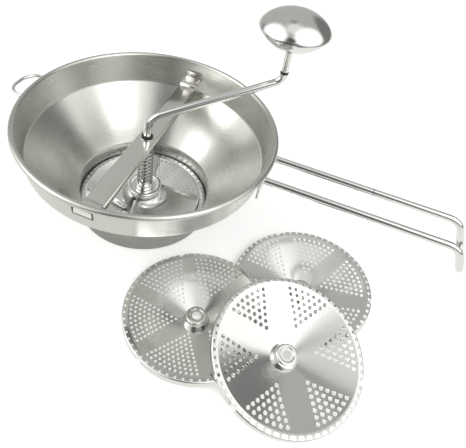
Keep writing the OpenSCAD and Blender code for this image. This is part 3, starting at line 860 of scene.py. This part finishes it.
@dataclass
class Bridge:
    """The folded bar across the bowl, with its bush and washer."""

    bowl: Bowl
    width: float = 19.0
    sheet: float = 1.5
    depth: float = 5.5
    top: float = 84.0
    edge_r: float = 1.7
    tongue_w: float = 17.0
    tongue_l: float = 17.0
    tongue_step: float = 2.5
    tab_recess: float = 0.3
    burr: float = 0.25
    bush_r: float = 5.0

    def bar(self) -> bpy.types.Object:
        """The channel with a stepped tongue and an upturned tab at each end."""
        end = self.bowl.collar_r(self.bowl.slot_z) - self.tongue_l
        half = self.width / 2
        Bench.clear()
        bpy.ops.mesh.primitive_plane_add(size=1, location=(0, 0, self.top * MM))
        channel = Bench.named("bridge_channel")
        channel.scale = (self.width * MM, 2 * end * MM, 1)
        Bench.settle(channel)
        bpy.ops.object.mode_set(mode="EDIT")
        mesh = bmesh.from_edit_mesh(channel.data)
        for edge in mesh.edges:
            edge.select_set(all(abs(abs(v.co.x) - half * MM) < 1e-6 for v in edge.verts)
                            and abs(edge.verts[0].co.x - edge.verts[1].co.x) < 1e-6)
        bmesh.update_edit_mesh(channel.data)
        bpy.ops.mesh.select_mode(type="EDGE")
        Bench.pull(Vector((0, 0, -self.depth)))
        Bench.close_up()
        Bench.modify(channel, "BEVEL", width=self.edge_r * MM, segments=6, limit_method="ANGLE")
        Bench.modify(channel, "SOLIDIFY", thickness=self.sheet * MM, offset=-1.0, use_even_offset=True)
        bar = Bench.join("bridge_bar_formed", [channel, self._tongue(-1, end), self._tongue(1, end)])
        Bench.modify(bar, "BEVEL", width=self.burr * MM, segments=2, limit_method="ANGLE",
                     angle_limit=math.radians(50))
        Bench.clear()
        bpy.ops.mesh.primitive_cylinder_add(vertices=48, radius=self.bush_r * MM, depth=0.02,
                                            location=(0, 0, self.top * MM))
        Bench.cut(bar, Bench.named("bush_cutter"))
        return bar

    def _tongue(self, side: int, end: float) -> bpy.types.Object:
        """One stepped tongue.

        Args:
            side: -1 or 1, the end of the bar along Y.
            end: Where the channel ends.

        Returns:
            The tongue, rounded at its bends.
        """
        tab_y = self.bowl.collar_r(self.bowl.slot_z + self.bowl.slot_h / 2) - self.tab_recess - self.sheet / 2
        middle = self.top - self.sheet / 2
        raised = middle + self.tongue_step
        tab_top = self.bowl.slot_z + self.bowl.slot_h - 0.3
        path = rounded([(end - 3.0, middle), (end + 0.4, middle), (end + 2.6, raised), (tab_y, raised),
                        (tab_y, tab_top)], {1: 1.6, 2: 1.6, 3: 1.0}, 6)
        half = self.tongue_w / 2
        outline = beside(path, self.sheet / 2) + beside(path, -self.sheet / 2)[::-1]
        points = [Vector((-half, side * y, z)) for y, z in outline]
        piece = Bench.draw("bridge_tongue", points + points[:1], gap=1e-6)
        bpy.ops.mesh.edge_face_add()
        Bench.pull(Vector((self.tongue_w, 0, 0)))
        Bench.close_up()
        return piece

    def bush(self) -> bpy.types.Object:
        """The turned bush in the bar's middle, with its riveted collar."""
        low, high = heights("bridge_bush")
        collar = [(self.bush_r, high - 2.9), (self.bush_r, high - 0.6), (6.0, high - 0.6), (6.35, high - 0.45),
                  (6.4, high - 0.25), (6.2, high - 0.05), (5.8, high), (4.1, high), (BORE_R, high - 0.3)]
        return Bench.turned("bridge_bush_turned", [(BORE_R, low), (5.1, low), (5.1, high - 2.9)] + collar, steps=64)

    def build(self, dresser: Dresser, frame: dict) -> None:
        """Makes and dresses the bridge's pieces."""
        dresser.hand_in(self.bar(), "mill", "bowl_steel", Finish.BAR, "bridge_bar")
        dresser.hand_in(self.bush(), "mill", "machined_steel", Finish.TURNED, "bridge_bush")
        dresser.keep_node(frame, "spring_washer", Finish.TURNED)


# === the discs ===============================================================


class Grade(Enum):
    """How coarse a disc is: hole diameter, hole spacing and radius of the first hole."""

    FINE = (2.0, 4.3, 17.5)
    MEDIUM = (2.6, 4.8, 20.0)
    COARSE = (3.2, 5.4, 25.5)


@dataclass
class Disc:
    """A dished perforated disc with its bush."""

    plate_node: str
    bush_node: str
    body: str
    grade: Grade
    at: Vector
    tip: tuple[float, float] = (0.0, 0.0)
    radius: float = 62.3
    dish_r: float = 57.2
    floor_r: float = 10.0
    depth: float = 9.5
    sheet: float = 0.8
    skirt: float = 6.0
    brim_holes: int = 60
    brim_hole_d: float = 2.6
    row_share: float = 0.87
    first_sector: float = 30.0
    hub_r: float = 9.0
    hub_h: float = 4.0
    rivet_h: float = 0.7
    notch_w: float = 5.0
    notch_l: float = 1.9
    sectors: int = 6
    weld: float = 0.02

    @property
    def slope(self) -> float:
        """Angle of the dish's wall."""
        return math.atan2(self.depth, self.dish_r - self.floor_r)

    def lay(self, piece: bpy.types.Object) -> None:
        """Moves a piece from the disc's own place to where the disc lies."""
        heading, angle = (math.radians(a) for a in self.tip)
        turn = (Matrix.Rotation(heading, 4, "Z") @ Matrix.Rotation(angle, 4, "Y")
                @ Matrix.Rotation(-heading, 4, "Z"))
        piece.matrix_world = Matrix.Translation(self.at * MM) @ turn
        Bench.settle(piece)

    def blank(self) -> bpy.types.Object:
        """The pressed disc before its holes are punched."""
        corners = [(6.0, -self.depth), (self.floor_r, -self.depth), (self.dish_r, 0.0), (self.radius, 0.0),
                   (self.radius, -self.skirt)]
        top = rounded(corners, {1: 4.0, 2: 1.5, 3: 1.5}, 6)
        under = beside(top, -self.sheet)
        return Bench.turned("disc_blank", top + under[::-1], steps=180)

    def punch(self, number: int, hole_d: float, r: float, z: float, angle: float, tilt: float,
              model: bpy.types.Object) -> bpy.types.Object:
        """A copy of the punch, set at one hole.

        Args:
            number: The hole's number.
            hole_d: The hole's diameter.
            r: The hole's distance from the axis.
            z: Height of the sheet there.
            angle: The hole's direction from the axis.
            tilt: How far the punch leans towards the axis.
            model: The punch that is copied.

        Returns:
            The copy, placed.
        """
        copy = model.copy()
        copy.data = model.data.copy()
        copy.name = f"punch_{number}"
        bpy.context.collection.objects.link(copy)
        copy.matrix_world = (Matrix.Rotation(angle, 4, "Z") @ Matrix.Translation(Vector((r, 0, z)) * MM)
                             @ Matrix.Rotation(-tilt, 4, "Y") @ Matrix.Diagonal((hole_d, hole_d, 1, 1)))
        return copy

    def punches(self) -> bpy.types.Object:
        """All the punches of the disc, as one piece."""
        hole_d, pitch, first = self.grade.value
        unit = [(0.0, -2.0), (0.5, -2.0), (0.5, -0.12), (0.56, 0.0), (0.56, 1.0), (0.0, 1.0)]
        model = Bench.turned("punch", unit, steps=14)
        copies: list[bpy.types.Object] = []
        brim_r = (self.dish_r + self.radius) / 2 + 0.2
        for i in range(self.brim_holes):
            copies.append(self.punch(len(copies), min(hole_d, self.brim_hole_d), brim_r, 0.0,
                                     FULL_TURN * i / self.brim_holes, 0.0, model))
        row_step = pitch * self.row_share
        rows = int((self.dish_r - hole_d / 2 - 1.0 - first) / row_step) + 1
        for sector in range(self.sectors):
            middle = math.radians(sector * 360 / self.sectors + self.first_sector)
            for row in range(rows):
                r = first + row * row_step
                z = -self.depth * (self.dish_r - r) / (self.dish_r - self.floor_r)
                for k in range(row + 1):
                    angle = middle + (k - row / 2) * pitch / r
                    copies.append(self.punch(len(copies), hole_d, r, z, angle, self.slope, model))
        bpy.data.objects.remove(model, do_unlink=True)
        joined = Bench.join("punches", copies)
        Bench.settle(joined)
        return joined

    def plate(self) -> bpy.types.Object:
        """The perforated disc with its three notches."""
        piece = self.blank()
        Bench.cut(piece, self.punches())
        half = self.notch_w / 2
        for angle in NOTCH_ANGLES:
            notch = Bench.block("notch_cutter", Vector((self.radius - self.notch_l, -half, -self.skirt - 1)),
                                Vector((self.radius + 1, half, 2)), edge=0.6)
            Bench.settle(notch, turn=math.radians(angle))
            Bench.cut(piece, notch)
        Bench.modify(piece, "WELD", merge_threshold=self.weld * MM)
        piece = Bench.join(f"{self.plate_node}_pressed", [piece])
        self.lay(piece)
        return piece

    def bush(self) -> bpy.types.Object:
        """The turned and riveted bush in the disc's middle."""
        sheet_low, sheet_top = -self.depth - self.sheet, -self.depth
        low, top = sheet_low - self.rivet_h, sheet_top + self.hub_h
        outline = rounded([(BORE_R, low), (self.hub_r, low), (self.hub_r, sheet_low), (6.0, sheet_low),
                           (6.0, sheet_top), (self.hub_r, sheet_top), (self.hub_r, top), (6.2, top),
                           (5.6, top - self.rivet_h), (BORE_R, top - self.rivet_h)], {6: 1.3, 7: 0.5, 8: 0.4}, 6)
        piece = Bench.turned(f"{self.bush_node}_turned", outline, steps=72)
        self.lay(piece)
        return piece

    def build(self, dresser: Dresser) -> None:
        """Makes and dresses the disc's two pieces."""
        dresser.hand_in(self.plate(), self.body, "disc_steel", Finish[self.plate_node.upper()], self.plate_node)
        dresser.hand_in(self.bush(), self.body, "machined_steel", Finish.TURNED, self.bush_node)


# === crank, rotor and knob ===================================================


@dataclass
class Crank:
    """The bent crank rod with its two seal rings."""

    rod_r: float = 3.75
    throw: float = 120.0
    slope: float = 18.4
    line_z: float = 104.9
    shaft_bend_r: float = 16.0
    knob_bend_r: float = 10.0
    angle: float = 33.0
    pin_r: float = 2.2
    pilot_scale: float = 0.86
    pilot_h: float = 0.5
    seal_r: float = 0.95

    @property
    def knob_at(self) -> Vector:
        """Where the knob's axis crosses the floor."""
        return self.out * self.throw

    @property
    def out(self) -> Vector:
        """Direction of the arm, seen from above."""
        a = math.radians(self.angle)
        return Vector((math.cos(a), math.sin(a), 0))

    @property
    def turn(self) -> float:
        """Angle of each of the two bends."""
        return 90 - self.slope

    @property
    def shoulder_z(self) -> float:
        """Height of the rod's shoulder under the knob."""
        return heights("knob_seal_ring")[0]

    def rod(self) -> bpy.types.Object:
        """The rod from its pilot to the knob's pin."""
        low, high = heights("crank_rod")
        half = math.tan(math.radians(self.turn / 2))
        low_tangent, high_tangent = self.shaft_bend_r * half, self.knob_bend_r * half
        arm = self.throw / math.cos(math.radians(self.slope)) - low_tangent - high_tangent
        up = Vector((0, 0, 1))
        bender = Bender("crank_rod_bent", self.rod_r * self.pilot_scale, Vector((0, 0, low)), up, self.out)
        bender.run(self.pilot_h).taper(1 / self.pilot_scale)
        bender.run(self.line_z - low_tangent - low - self.pilot_h)
        bender.bend(self.shaft_bend_r, self.turn).run(arm).swing(180).bend(self.knob_bend_r, self.turn)
        bender.run(self.shoulder_z - bender.at.z)
        bender.step(self.pin_r / self.rod_r).run(high - self.shoulder_z)
        return bender.done()

    def ring(self, node: str, name: str, centre: Vector, major: float) -> bpy.types.Object:
        """A black seal ring round the rod.

        Args:
            node: The node that gives its height.
            name: The new piece's name.
            centre: Where its axis is.
            major: Radius to the middle of its section.

        Returns:
            The ring.
        """
        Bench.clear()
        bpy.ops.mesh.primitive_torus_add(major_segments=64, minor_segments=20, major_radius=major * MM,
                                         minor_radius=self.seal_r * MM)
        piece = Bench.named(name)
        Bench.settle(piece, at=Vector((centre.x, centre.y, sum(heights(node)) / 2)))
        return piece

    def build(self, dresser: Dresser) -> None:
        """Makes and dresses the crank's pieces."""
        dresser.hand_in(self.rod(), "crank", "polished_steel", Finish.POLISHED, "crank_rod")
        for node, name, centre, more in (("shaft_seal_ring", "shaft_o_ring", Vector(), 0.6),
                                         ("knob_seal_ring", "knob_o_ring", self.knob_at, -0.75)):
            dresser.hand_in(self.ring(node, name, centre, self.rod_r + more), "crank", "black_rubber",
                            Finish.RUBBER, node, smooth=Smooth.SOFT_EDGES)


@dataclass
class Rotor:
    """The wiping rotor: two swept wings on a turned hub."""

    wing_r: float = 56.0
    sheet: float = 1.0
    flange_r: float = 17.0
    boss_r: float = 9.0
    plate_z: float = 16.0
    lift_z: float = 15.0
    trail_offset: float = 25.0
    trail_turn: float = 3.5
    lead_angle: float = -80.0
    lead_sweep: float = 12.0
    gap: float = 0.35
    belly_r: float = 23.0
    lip_r: float = 2.4
    lip_scale: float = 0.8
    flank: float = 0.14
    flank_rise: float = 0.35
    burr: float = 0.25
    dish: tuple[float, float, float, float] = (11.5, 9.5, 57.2, 10.0)
    rows: int = 40
    columns: int = 72

    @property
    def root_r(self) -> float:
        """Radius where the wings leave the hub."""
        return self.flange_r - 2

    def dish_top(self, r: float) -> float:
        """Height of the fitted disc's face at a radius."""
        brim_z, depth, dish_r, floor_r = self.dish
        return brim_z - depth * (dish_r - r) / (dish_r - floor_r)

    def trail_z(self, r: float) -> float:
        """Height of the wiping edge at a radius."""
        low = self.dish_top(max(r, self.belly_r)) + self.gap
        if r > self.belly_r:
            return low
        t = max(0.0, (r - self.root_r) / (self.belly_r - self.root_r))
        ease = t * t * (3 - 2 * t)
        return self.plate_z * (1 - ease) + low * ease

    def height(self, r: float, u: float) -> float:
        """Height of the wing's underside at a radius, u = 0 wiping edge, 1 raised edge."""
        raised = self.plate_z + (self.lift_z - self.plate_z) * (r - self.root_r) / (self.wing_r - self.root_r)
        t = min(1.0, u / self.flank)
        beyond = max(0.0, (u - self.flank) / (1 - self.flank))
        rise = self.flank_rise * t * t * (3 - 2 * t) + (1 - self.flank_rise) * beyond ** 1.1
        return self.trail_z(r) + (raised - self.trail_z(r)) * rise

    def heading(self, r: float, u: float) -> float:
        """Direction of a point of the wing, in radians."""
        trail = math.degrees(math.asin(self.trail_offset / max(r, self.trail_offset * 1.04))) - self.trail_turn
        lead = self.lead_angle - self.lead_sweep * (self.wing_r - r) / (self.wing_r - self.root_r)
        return math.radians(trail + (lead - trail) * u)

    def wing(self, turn: float) -> bpy.types.Object:
        """One formed wing, turned about the shaft."""
        Bench.clear()
        bpy.ops.mesh.primitive_grid_add(x_subdivisions=self.rows, y_subdivisions=self.columns, size=1)
        piece = Bench.named("wing_sheet")
        inner = self.root_r - 2
        for vertex in piece.data.vertices:
            r = inner + (self.wing_r - inner) * (vertex.co.x + 0.5)
            u = vertex.co.y + 0.5
            a = self.heading(r, u)
            vertex.co = Vector((r * math.cos(a), r * math.sin(a), self.height(r, u))) * MM
        Bench.pick(piece)
        bpy.ops.object.mode_set(mode="EDIT")
        bpy.ops.mesh.select_all(action="SELECT")
        bpy.ops.mesh.normals_make_consistent(inside=False)
        bpy.ops.object.mode_set(mode="OBJECT")
        if sum(p.normal.z for p in piece.data.polygons) < 0:
            bpy.ops.object.mode_set(mode="EDIT")
            bpy.ops.mesh.flip_normals()
            bpy.ops.object.mode_set(mode="OBJECT")
        Bench.modify(piece, "SOLIDIFY", thickness=self.sheet * MM, offset=1.0)
        Bench.modify(piece, "BEVEL", width=self.burr * MM, segments=2, limit_method="ANGLE",
                     angle_limit=math.radians(60))
        Bench.settle(piece, turn=turn)
        return piece

    def lip(self, turn: float) -> bpy.types.Object:
        """The curl along the raised edge of one wing, turned about the shaft."""
        ends = []
        for r in (self.flange_r + 1.0, self.wing_r - 3.5):
            a = self.heading(r, 1.0)
            ends.append(Vector((r * math.cos(a), r * math.sin(a), self.height(r, 1.0) - self.lip_r + self.sheet)))
        start, end = ends
        along = end - start
        bender = Bender("wing_lip", self.lip_r * self.lip_scale, start, along, Vector((0, 0, 1)).cross(along))
        bender.run(0.5).taper(1 / self.lip_scale).run(along.length - 1.0).run(0.5).taper(self.lip_scale)
        piece = bender.done()
        Bench.settle(piece, turn=turn)
        return piece

    def wings(self) -> bpy.types.Object:
        """Both wings with their lips, and the flat centre between them."""
        outline = [(self.boss_r, self.plate_z), (self.root_r, self.plate_z), (self.root_r, self.plate_z + self.sheet),
                   (self.boss_r, self.plate_z + self.sheet)]
        centre = Bench.turned("wing_centre", outline)
        return Bench.join("rotor_wings_formed", [centre, self.wing(0.0), self.wing(math.pi),
                                                 self.lip(0.0), self.lip(math.pi)])

    def hub(self) -> bpy.types.Object:
        """The turned hub with its flange and cup recess."""
        low, high = heights("rotor_hub")
        plate_top = self.plate_z + self.sheet
        cup = heights("spring_cup")[0] - 0.1
        corners = [(BORE_R, low), (self.boss_r, low), (self.boss_r, plate_top), (self.flange_r - 1.5, plate_top),
                   (self.flange_r, plate_top + 2.2), (self.flange_r, high), (self.flange_r - 3.4, high),
                   (self.flange_r - 4.4, cup), (BORE_R, cup)]
        return Bench.turned("rotor_hub_turned", rounded(corners, {1: 0.8, 4: 2.0, 5: 1.5, 6: 1.1, 7: 0.8}))

    def pin(self) -> bpy.types.Object:
        """The cross pin with domed ends."""
        low, high = (Vector(c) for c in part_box("rotor_pin"))
        Bench.clear()
        bpy.ops.mesh.primitive_cylinder_add(vertices=32, radius=(high.x - low.x) / 2, depth=high.y - low.y,
                                            location=(low + high) / 2, rotation=(math.pi / 2, 0, 0))
        piece = Bench.named("rotor_cross_pin")
        Bench.settle(piece)
        Bench.modify(piece, "BEVEL", width=0.4 * MM, segments=3, limit_method="ANGLE")
        return piece

    def build(self, dresser: Dresser) -> None:
        """Makes and dresses the rotor's pieces."""
        dresser.hand_in(self.wings(), "crank", "polished_steel", Finish.ROTOR, "rotor_wings")
        dresser.hand_in(self.hub(), "crank", "polished_steel", Finish.POLISHED, "rotor_hub")
        dresser.hand_in(self.pin(), "crank", "machined_steel", Finish.TURNED, "rotor_pin")


@dataclass
class SpringSet:
    """The coil spring and the cup that it presses on."""

    wire_r: float = 0.8
    low_r: float = 7.0
    high_r: float = 6.2
    turns: int = 12
    cup_r: float = 8.6
    pilot_r: float = 6.15
    pilot_h: float = 2.6

    def coil(self) -> bpy.types.Object:
        """The coil, wound upwards and a little narrower at its top."""
        low, high = heights("spring")
        lift = high - low - 2 * self.wire_r
        Bench.clear()
        bpy.ops.mesh.primitive_circle_add(vertices=14, radius=self.wire_r * MM, fill_type="NOTHING",
                                          location=(self.low_r * MM, 0, 0), rotation=(math.pi / 2, 0, 0))
        piece = Bench.named("coil_spring")
        Bench.settle(piece)
        Bench.modify(piece, "SCREW", axis="Z", angle=FULL_TURN, screw_offset=lift / self.turns * MM,
                     iterations=self.turns, steps=36, render_steps=36, use_merge_vertices=True, merge_threshold=1e-7)
        for vertex in piece.data.vertices:
            share = vertex.co.z / (lift * MM)
            narrow = 1 - share * (1 - self.high_r / self.low_r)
            vertex.co.x, vertex.co.y = vertex.co.x * narrow, vertex.co.y * narrow
            vertex.co.z += (low + self.wire_r) * MM
        Bench.pick(piece)
        bpy.ops.object.mode_set(mode="EDIT")
        bpy.ops.mesh.select_all(action="SELECT")
        bpy.ops.mesh.fill_holes(sides=20)
        Bench.close_up(1e-7)
        return piece

    def cup(self) -> bpy.types.Object:
        """The turned cup with its pilot inside the coil."""
        low, high = heights("spring_cup")
        step = high - self.pilot_h
        corners = [(BORE_R, low), (self.cup_r, low), (self.cup_r, step), (self.pilot_r, step),
                   (self.pilot_r, high), (BORE_R, high)]
        return Bench.turned("spring_cup_turned", rounded(corners, {1: 0.8, 2: 1.6, 4: 0.9}, 6), steps=64)

    def build(self, dresser: Dresser) -> None:
        """Makes and dresses the spring's pieces."""
        dresser.hand_in(self.coil(), "lift", "spring_steel", Finish.WIRE, "spring", smooth=Smooth.SOFT_EDGES)
        dresser.hand_in(self.cup(), "lift", "machined_steel", Finish.POLISHED, "spring_cup")


@dataclass
class Knob:
    """The hollow oval knob on its stem."""

    crank: Crank
    radius: float = 32.0
    top_h: float = 16.0
    bottom_h: float = 21.0
    seam_up: float = 3.5
    stem_r: float = 3.3
    pin_r: float = 2.25
    seam: float = 0.12
    sheet: float = 0.9
    top_form: tuple[float, float] = (2.1, 0.72)
    bottom_form: tuple[float, float] = (1.9, 0.8)
    burr: float = 0.25
    rows: int = 40

    def shell(self, name: str, height: float, neck: float, up: int) -> bpy.types.Object:
        """One pressed shell.

        Args:
            name: The piece's name.
            height: Its height from the widest line.
            neck: Radius of the hole at its pole, or 0.
            up: 1 for the top shell, -1 for the bottom one.

        Returns:
            The shell, placed on the knob's axis.
        """
        middle = heights("knob_top_shell")[0] + self.seam_up
        end = math.acos(neck / self.radius)
        power, fullness = self.top_form if up > 0 else self.bottom_form
        outer = []
        for k in range(self.rows + 1):
            share = math.cos(end * k / self.rows)
            rise = height * max(0.0, 1 - share ** power) ** fullness
            outer.append((self.radius * share, middle + up * max(self.seam / 2, rise)))
        outer[0] = (self.radius - self.burr, outer[0][1])
        thin = 1 - self.sheet / self.radius
        inner = [(max(r * thin, neck), middle + (z - middle) * (1 - self.sheet / height)) for r, z in outer]
        if not neck:
            outer[-1], inner[-1] = (0.0, outer[-1][1]), (0.0, inner[-1][1])
        piece = Bench.turned(name, outer + inner[::-1], steps=128)
        Bench.settle(piece, at=self.crank.knob_at)
        return piece

    def stem(self) -> bpy.types.Object:
        """The tube under the knob."""
        low, high = heights("knob_stem")
        outline = rounded([(self.pin_r, low), (self.stem_r, low), (self.stem_r, high), (self.pin_r, high)],
                          {1: 0.35}, 4)
        piece = Bench.turned("knob_stem_tube", outline, steps=48)
        Bench.settle(piece, at=self.crank.knob_at)
        return piece

    def build(self, dresser: Dresser, frame: dict) -> None:
        """Makes and dresses the knob's pieces."""
        top = self.shell("knob_top_pressed", self.top_h, 0.0, 1)
        bottom = self.shell("knob_bottom_pressed", self.bottom_h, self.stem_r + 0.05, -1)
        for piece, node in ((top, "knob_top_shell"), (bottom, "knob_bottom_shell"), (self.stem(), "knob_stem")):
            dresser.hand_in(piece, "knob", "polished_steel", Finish.POLISHED, node)
        dresser.keep_node(frame, "knob_rivet", Finish.TURNED)


# === studio ==================================================================


@dataclass(frozen=True)
class Window:
    """A round soft window, or with a low brightness a dark screen, in the room's wall."""

    heading: float
    rise: float
    half_angle: float
    softness: float
    brightness: float

    @property
    def direction(self) -> Vector:
        """Direction from the mill to the window."""
        a, e = math.radians(self.heading), math.radians(self.rise)
        return Vector((math.cos(a) * math.cos(e), math.sin(a) * math.cos(e), math.sin(e)))


@dataclass
class Studio:
    """Floor, light and camera."""

    windows: tuple[Window, ...] = (
        Window(105, 20, 70, 20, 0.52),
        Window(0, 90, 24, 14, 0.9),
        Window(-16, 45, 45, 13, 1.4),
        Window(-152, 34, 43, 13, 1.4),
        Window(-165, 2, 24, 12, 1.1),
        Window(56, 16, 30, 10, 0.22),
        Window(160, 14, 12, 10, 0.35),
        Window(112, 68, 9, 6, 0.36),
        Window(-90, 20, 18, 8, 0.12),
        Window(-88, 46, 16, 8, 0.12),
    )
    camera_at: Vector = field(default_factory=lambda: Vector((157.0, -354.7, 399.4)))
    look: Vector = field(default_factory=lambda: Vector((-0.1888, 0.7354, -0.6508)))
    roll: float = 9.69
    lens: float = 41.3
    shift: Point = (0.042, -0.140)
    floor_size: float = 12.0
    ambient: Point = (0.2, 0.32)
    box_size: float = 0.7
    box_power: float = 3.0

    def floor(self) -> None:
        """A plain white floor that keeps the soft shadows; reflections see it as a glowing card with a painted shadow
        round the mill and painted shade towards the front.
        """
        Bench.clear()
        bpy.ops.mesh.primitive_plane_add(size=self.floor_size, location=(0, 0, -0.0002))
        plane = Bench.named("studio_floor")
        material = bpy.data.materials.new("studio_floor_white")
        material.use_nodes = True
        tree = material.node_tree
        n = Nodes(tree)
        tree.nodes.remove(tree.nodes["Principled BSDF"])
        path = n.add("ShaderNodeLightPath")
        place = n.add("ShaderNodeTexCoord").outputs["Object"]
        part = n.add("ShaderNodeSeparateXYZ", Vector=place)
        away = n.add("ShaderNodeVectorMath", {"operation": "LENGTH"}, i0=place).outputs["Value"]
        # Painted shadow: in reflections the floor is darker close round the mill.
        near = n.soft_step(away, 0.075, 0.135, 0.42, 1.0)
        # Painted shade: in reflections the floor is darker towards the front.
        front = n.soft_step(part.outputs[1], -0.75, -0.4, 0.22, 1.0)
        painted_floor_light = n.math("MULTIPLY", near, front)
        painted_floor_reflection = n.add("ShaderNodeCombineColor", Red=painted_floor_light, Green=painted_floor_light, Blue=n.math("MULTIPLY", painted_floor_light, 0.96))
        paper = n.add("ShaderNodeBsdfDiffuse", Color=(0.97, 0.97, 0.97, 1))
        lift = n.add("ShaderNodeEmission", Color=(0.3, 0.3, 0.3, 1), Strength=1.0)
        seen = n.add("ShaderNodeAddShader", i0=paper.outputs[0], i1=lift.outputs[0])
        # Seen in reflections, the floor is a glowing card that carries this painted shade; it is not lit.
        painted_reflection_card = n.add("ShaderNodeEmission", Color=painted_floor_reflection.outputs[0], Strength=1.0)
        mix = n.add("ShaderNodeMixShader", i0=path.outputs["Is Glossy Ray"], i1=seen.outputs[0], i2=painted_reflection_card.outputs[0])
        n.put(tree.nodes["Material Output"].inputs["Surface"], mix.outputs[0])
        plane.data.materials.append(material)

    @staticmethod
    def window_group() -> bpy.types.NodeTree:
        """Builds the group that gives the brightness of one soft window of the room."""
        g = Group("room_window", {"Direction": None, "Towards": None, "Half Angle": 20.0, "Softness": 6.0,
                                  "Brightness": 1.0, "Behind": 0.0}, ["Brightness"])
        cosine = g.add("ShaderNodeVectorMath", {"operation": "DOT_PRODUCT"}, i0=g.given["Direction"],
                       i1=g.given["Towards"]).outputs["Value"]
        apart = g.math("DEGREES", g.math("ARCCOSINE", cosine))
        mask = g.soft_step(g.math("SUBTRACT", g.given["Half Angle"], apart), 0.0, g.given["Softness"], 0.0, 1.0)
        shown = g.math("SUBTRACT", g.given["Brightness"], g.given["Behind"])
        g.put(g.result["Brightness"], g.math("ADD", g.given["Behind"], g.math("MULTIPLY", mask, shown)))
        return g.tree

    def world(self) -> None:
        """White all round for the camera, and a room with soft windows for reflections."""
        world = bpy.data.worlds.new("studio_room")
        bpy.context.scene.world = world
        world.use_nodes = True
        tree = world.node_tree
        n = Nodes(tree)
        back = tree.nodes["Background"]
        path = n.add("ShaderNodeLightPath")
        towards = n.add("ShaderNodeTexCoord").outputs["Generated"]
        part = n.add("ShaderNodeSeparateXYZ", Vector=towards)
        group = self.window_group()
        low, rise = self.ambient
        light = n.math("ADD", n.math("MULTIPLY", part.outputs[2], rise), low)
        for window in self.windows:
            light = n.add("ShaderNodeGroup", {"node_tree": group}, Direction=towards, Towards=window.direction,
                          Half_Angle=window.half_angle, Softness=window.softness, Brightness=window.brightness,
                          Behind=light).outputs[0]
        room = n.add("ShaderNodeCombineColor", Red=light, Green=light, Blue=n.math("MULTIPLY", light, 0.98))
        n.put(back.inputs["Color"], n.blend(path.outputs["Is Camera Ray"], room.outputs[0], (1, 1, 1, 1)))
        n.put(back.inputs["Strength"], 1.0)

    def lamp(self, name: str, at: Vector) -> None:
        """A soft box that points at the mill.

        Args:
            name: The lamp's name.
            at: Where it stands, in metres.
        """
        data = bpy.data.lights.new(name, "AREA")
        data.size, data.energy = self.box_size, self.box_power
        lamp = bpy.data.objects.new(name, data)
        bpy.context.collection.objects.link(lamp)
        lamp.location = at
        lamp.rotation_euler = (Vector((0.03, -0.02, 0.06)) - at).to_track_quat("-Z", "Y").to_euler()

    def camera(self) -> None:
        """The camera, placed and rolled."""
        data = bpy.data.cameras.new("camera")
        camera = bpy.data.objects.new("camera", data)
        bpy.context.collection.objects.link(camera)
        data.lens, data.sensor_width = self.lens, 36.0
        data.shift_x, data.shift_y = self.shift
        look = self.look.normalized()
        level = look.cross(Vector((0, 0, 1))).normalized()
        right = Matrix.Rotation(-math.radians(self.roll), 3, look) @ level
        up = right.cross(look)
        camera.matrix_world = Matrix.Translation(self.camera_at * MM) @ Matrix(
            (right, up, -look)).transposed().to_4x4()
        bpy.context.scene.camera = camera

    def build(self) -> None:
        """Sets the whole studio up."""
        self.floor()
        self.world()
        self.lamp("right_box", Vector((0.9, -0.45, 1.1)))
        self.lamp("left_box", Vector((-1.0, -0.55, 0.9)))
        self.camera()
        bpy.context.scene.view_settings.view_transform = "Standard"


def build_discs(dresser: Dresser) -> None:
    """The fitted disc and the three that lie in front."""
    discs = [
        Disc("fitted_disc", "fitted_disc_bush", "mill", Grade.MEDIUM, Vector((0, 0, 11.5))),
        Disc("medium_disc", "medium_disc_bush", "medium", Grade.MEDIUM, Vector((175.99, -38.02, 11.89)),
             (200.0, 5.359)),
        Disc("fine_disc", "fine_disc_bush", "fine", Grade.FINE, Vector((100.96, -104.94, 11.6)), (191.0, 3.313)),
        Disc("coarse_disc", "coarse_disc_bush", "coarse", Grade.COARSE, Vector((182.0, -114.0, 21.22)),
             (311.0, 14.216)),
    ]
    for disc in discs:
        disc.build(dresser)


def main() -> None:
    """Builds the dressed food mill."""
    logging.basicConfig(level=logging.INFO, format="%(name)s %(message)s", stream=sys.stdout)
    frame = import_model()
    dresser = Dresser()
    bowl = Bowl()
    crank = Crank()
    bowl.build(dresser)
    Handles(bowl).build(dresser)
    Bridge(bowl).build(dresser, frame)
    build_discs(dresser)
    SpringSet().build(dresser)
    crank.build(dresser)
    Rotor().build(dresser)
    Knob(crank).build(dresser, frame)
    Studio().build()


if __name__ == "__main__":
    main()
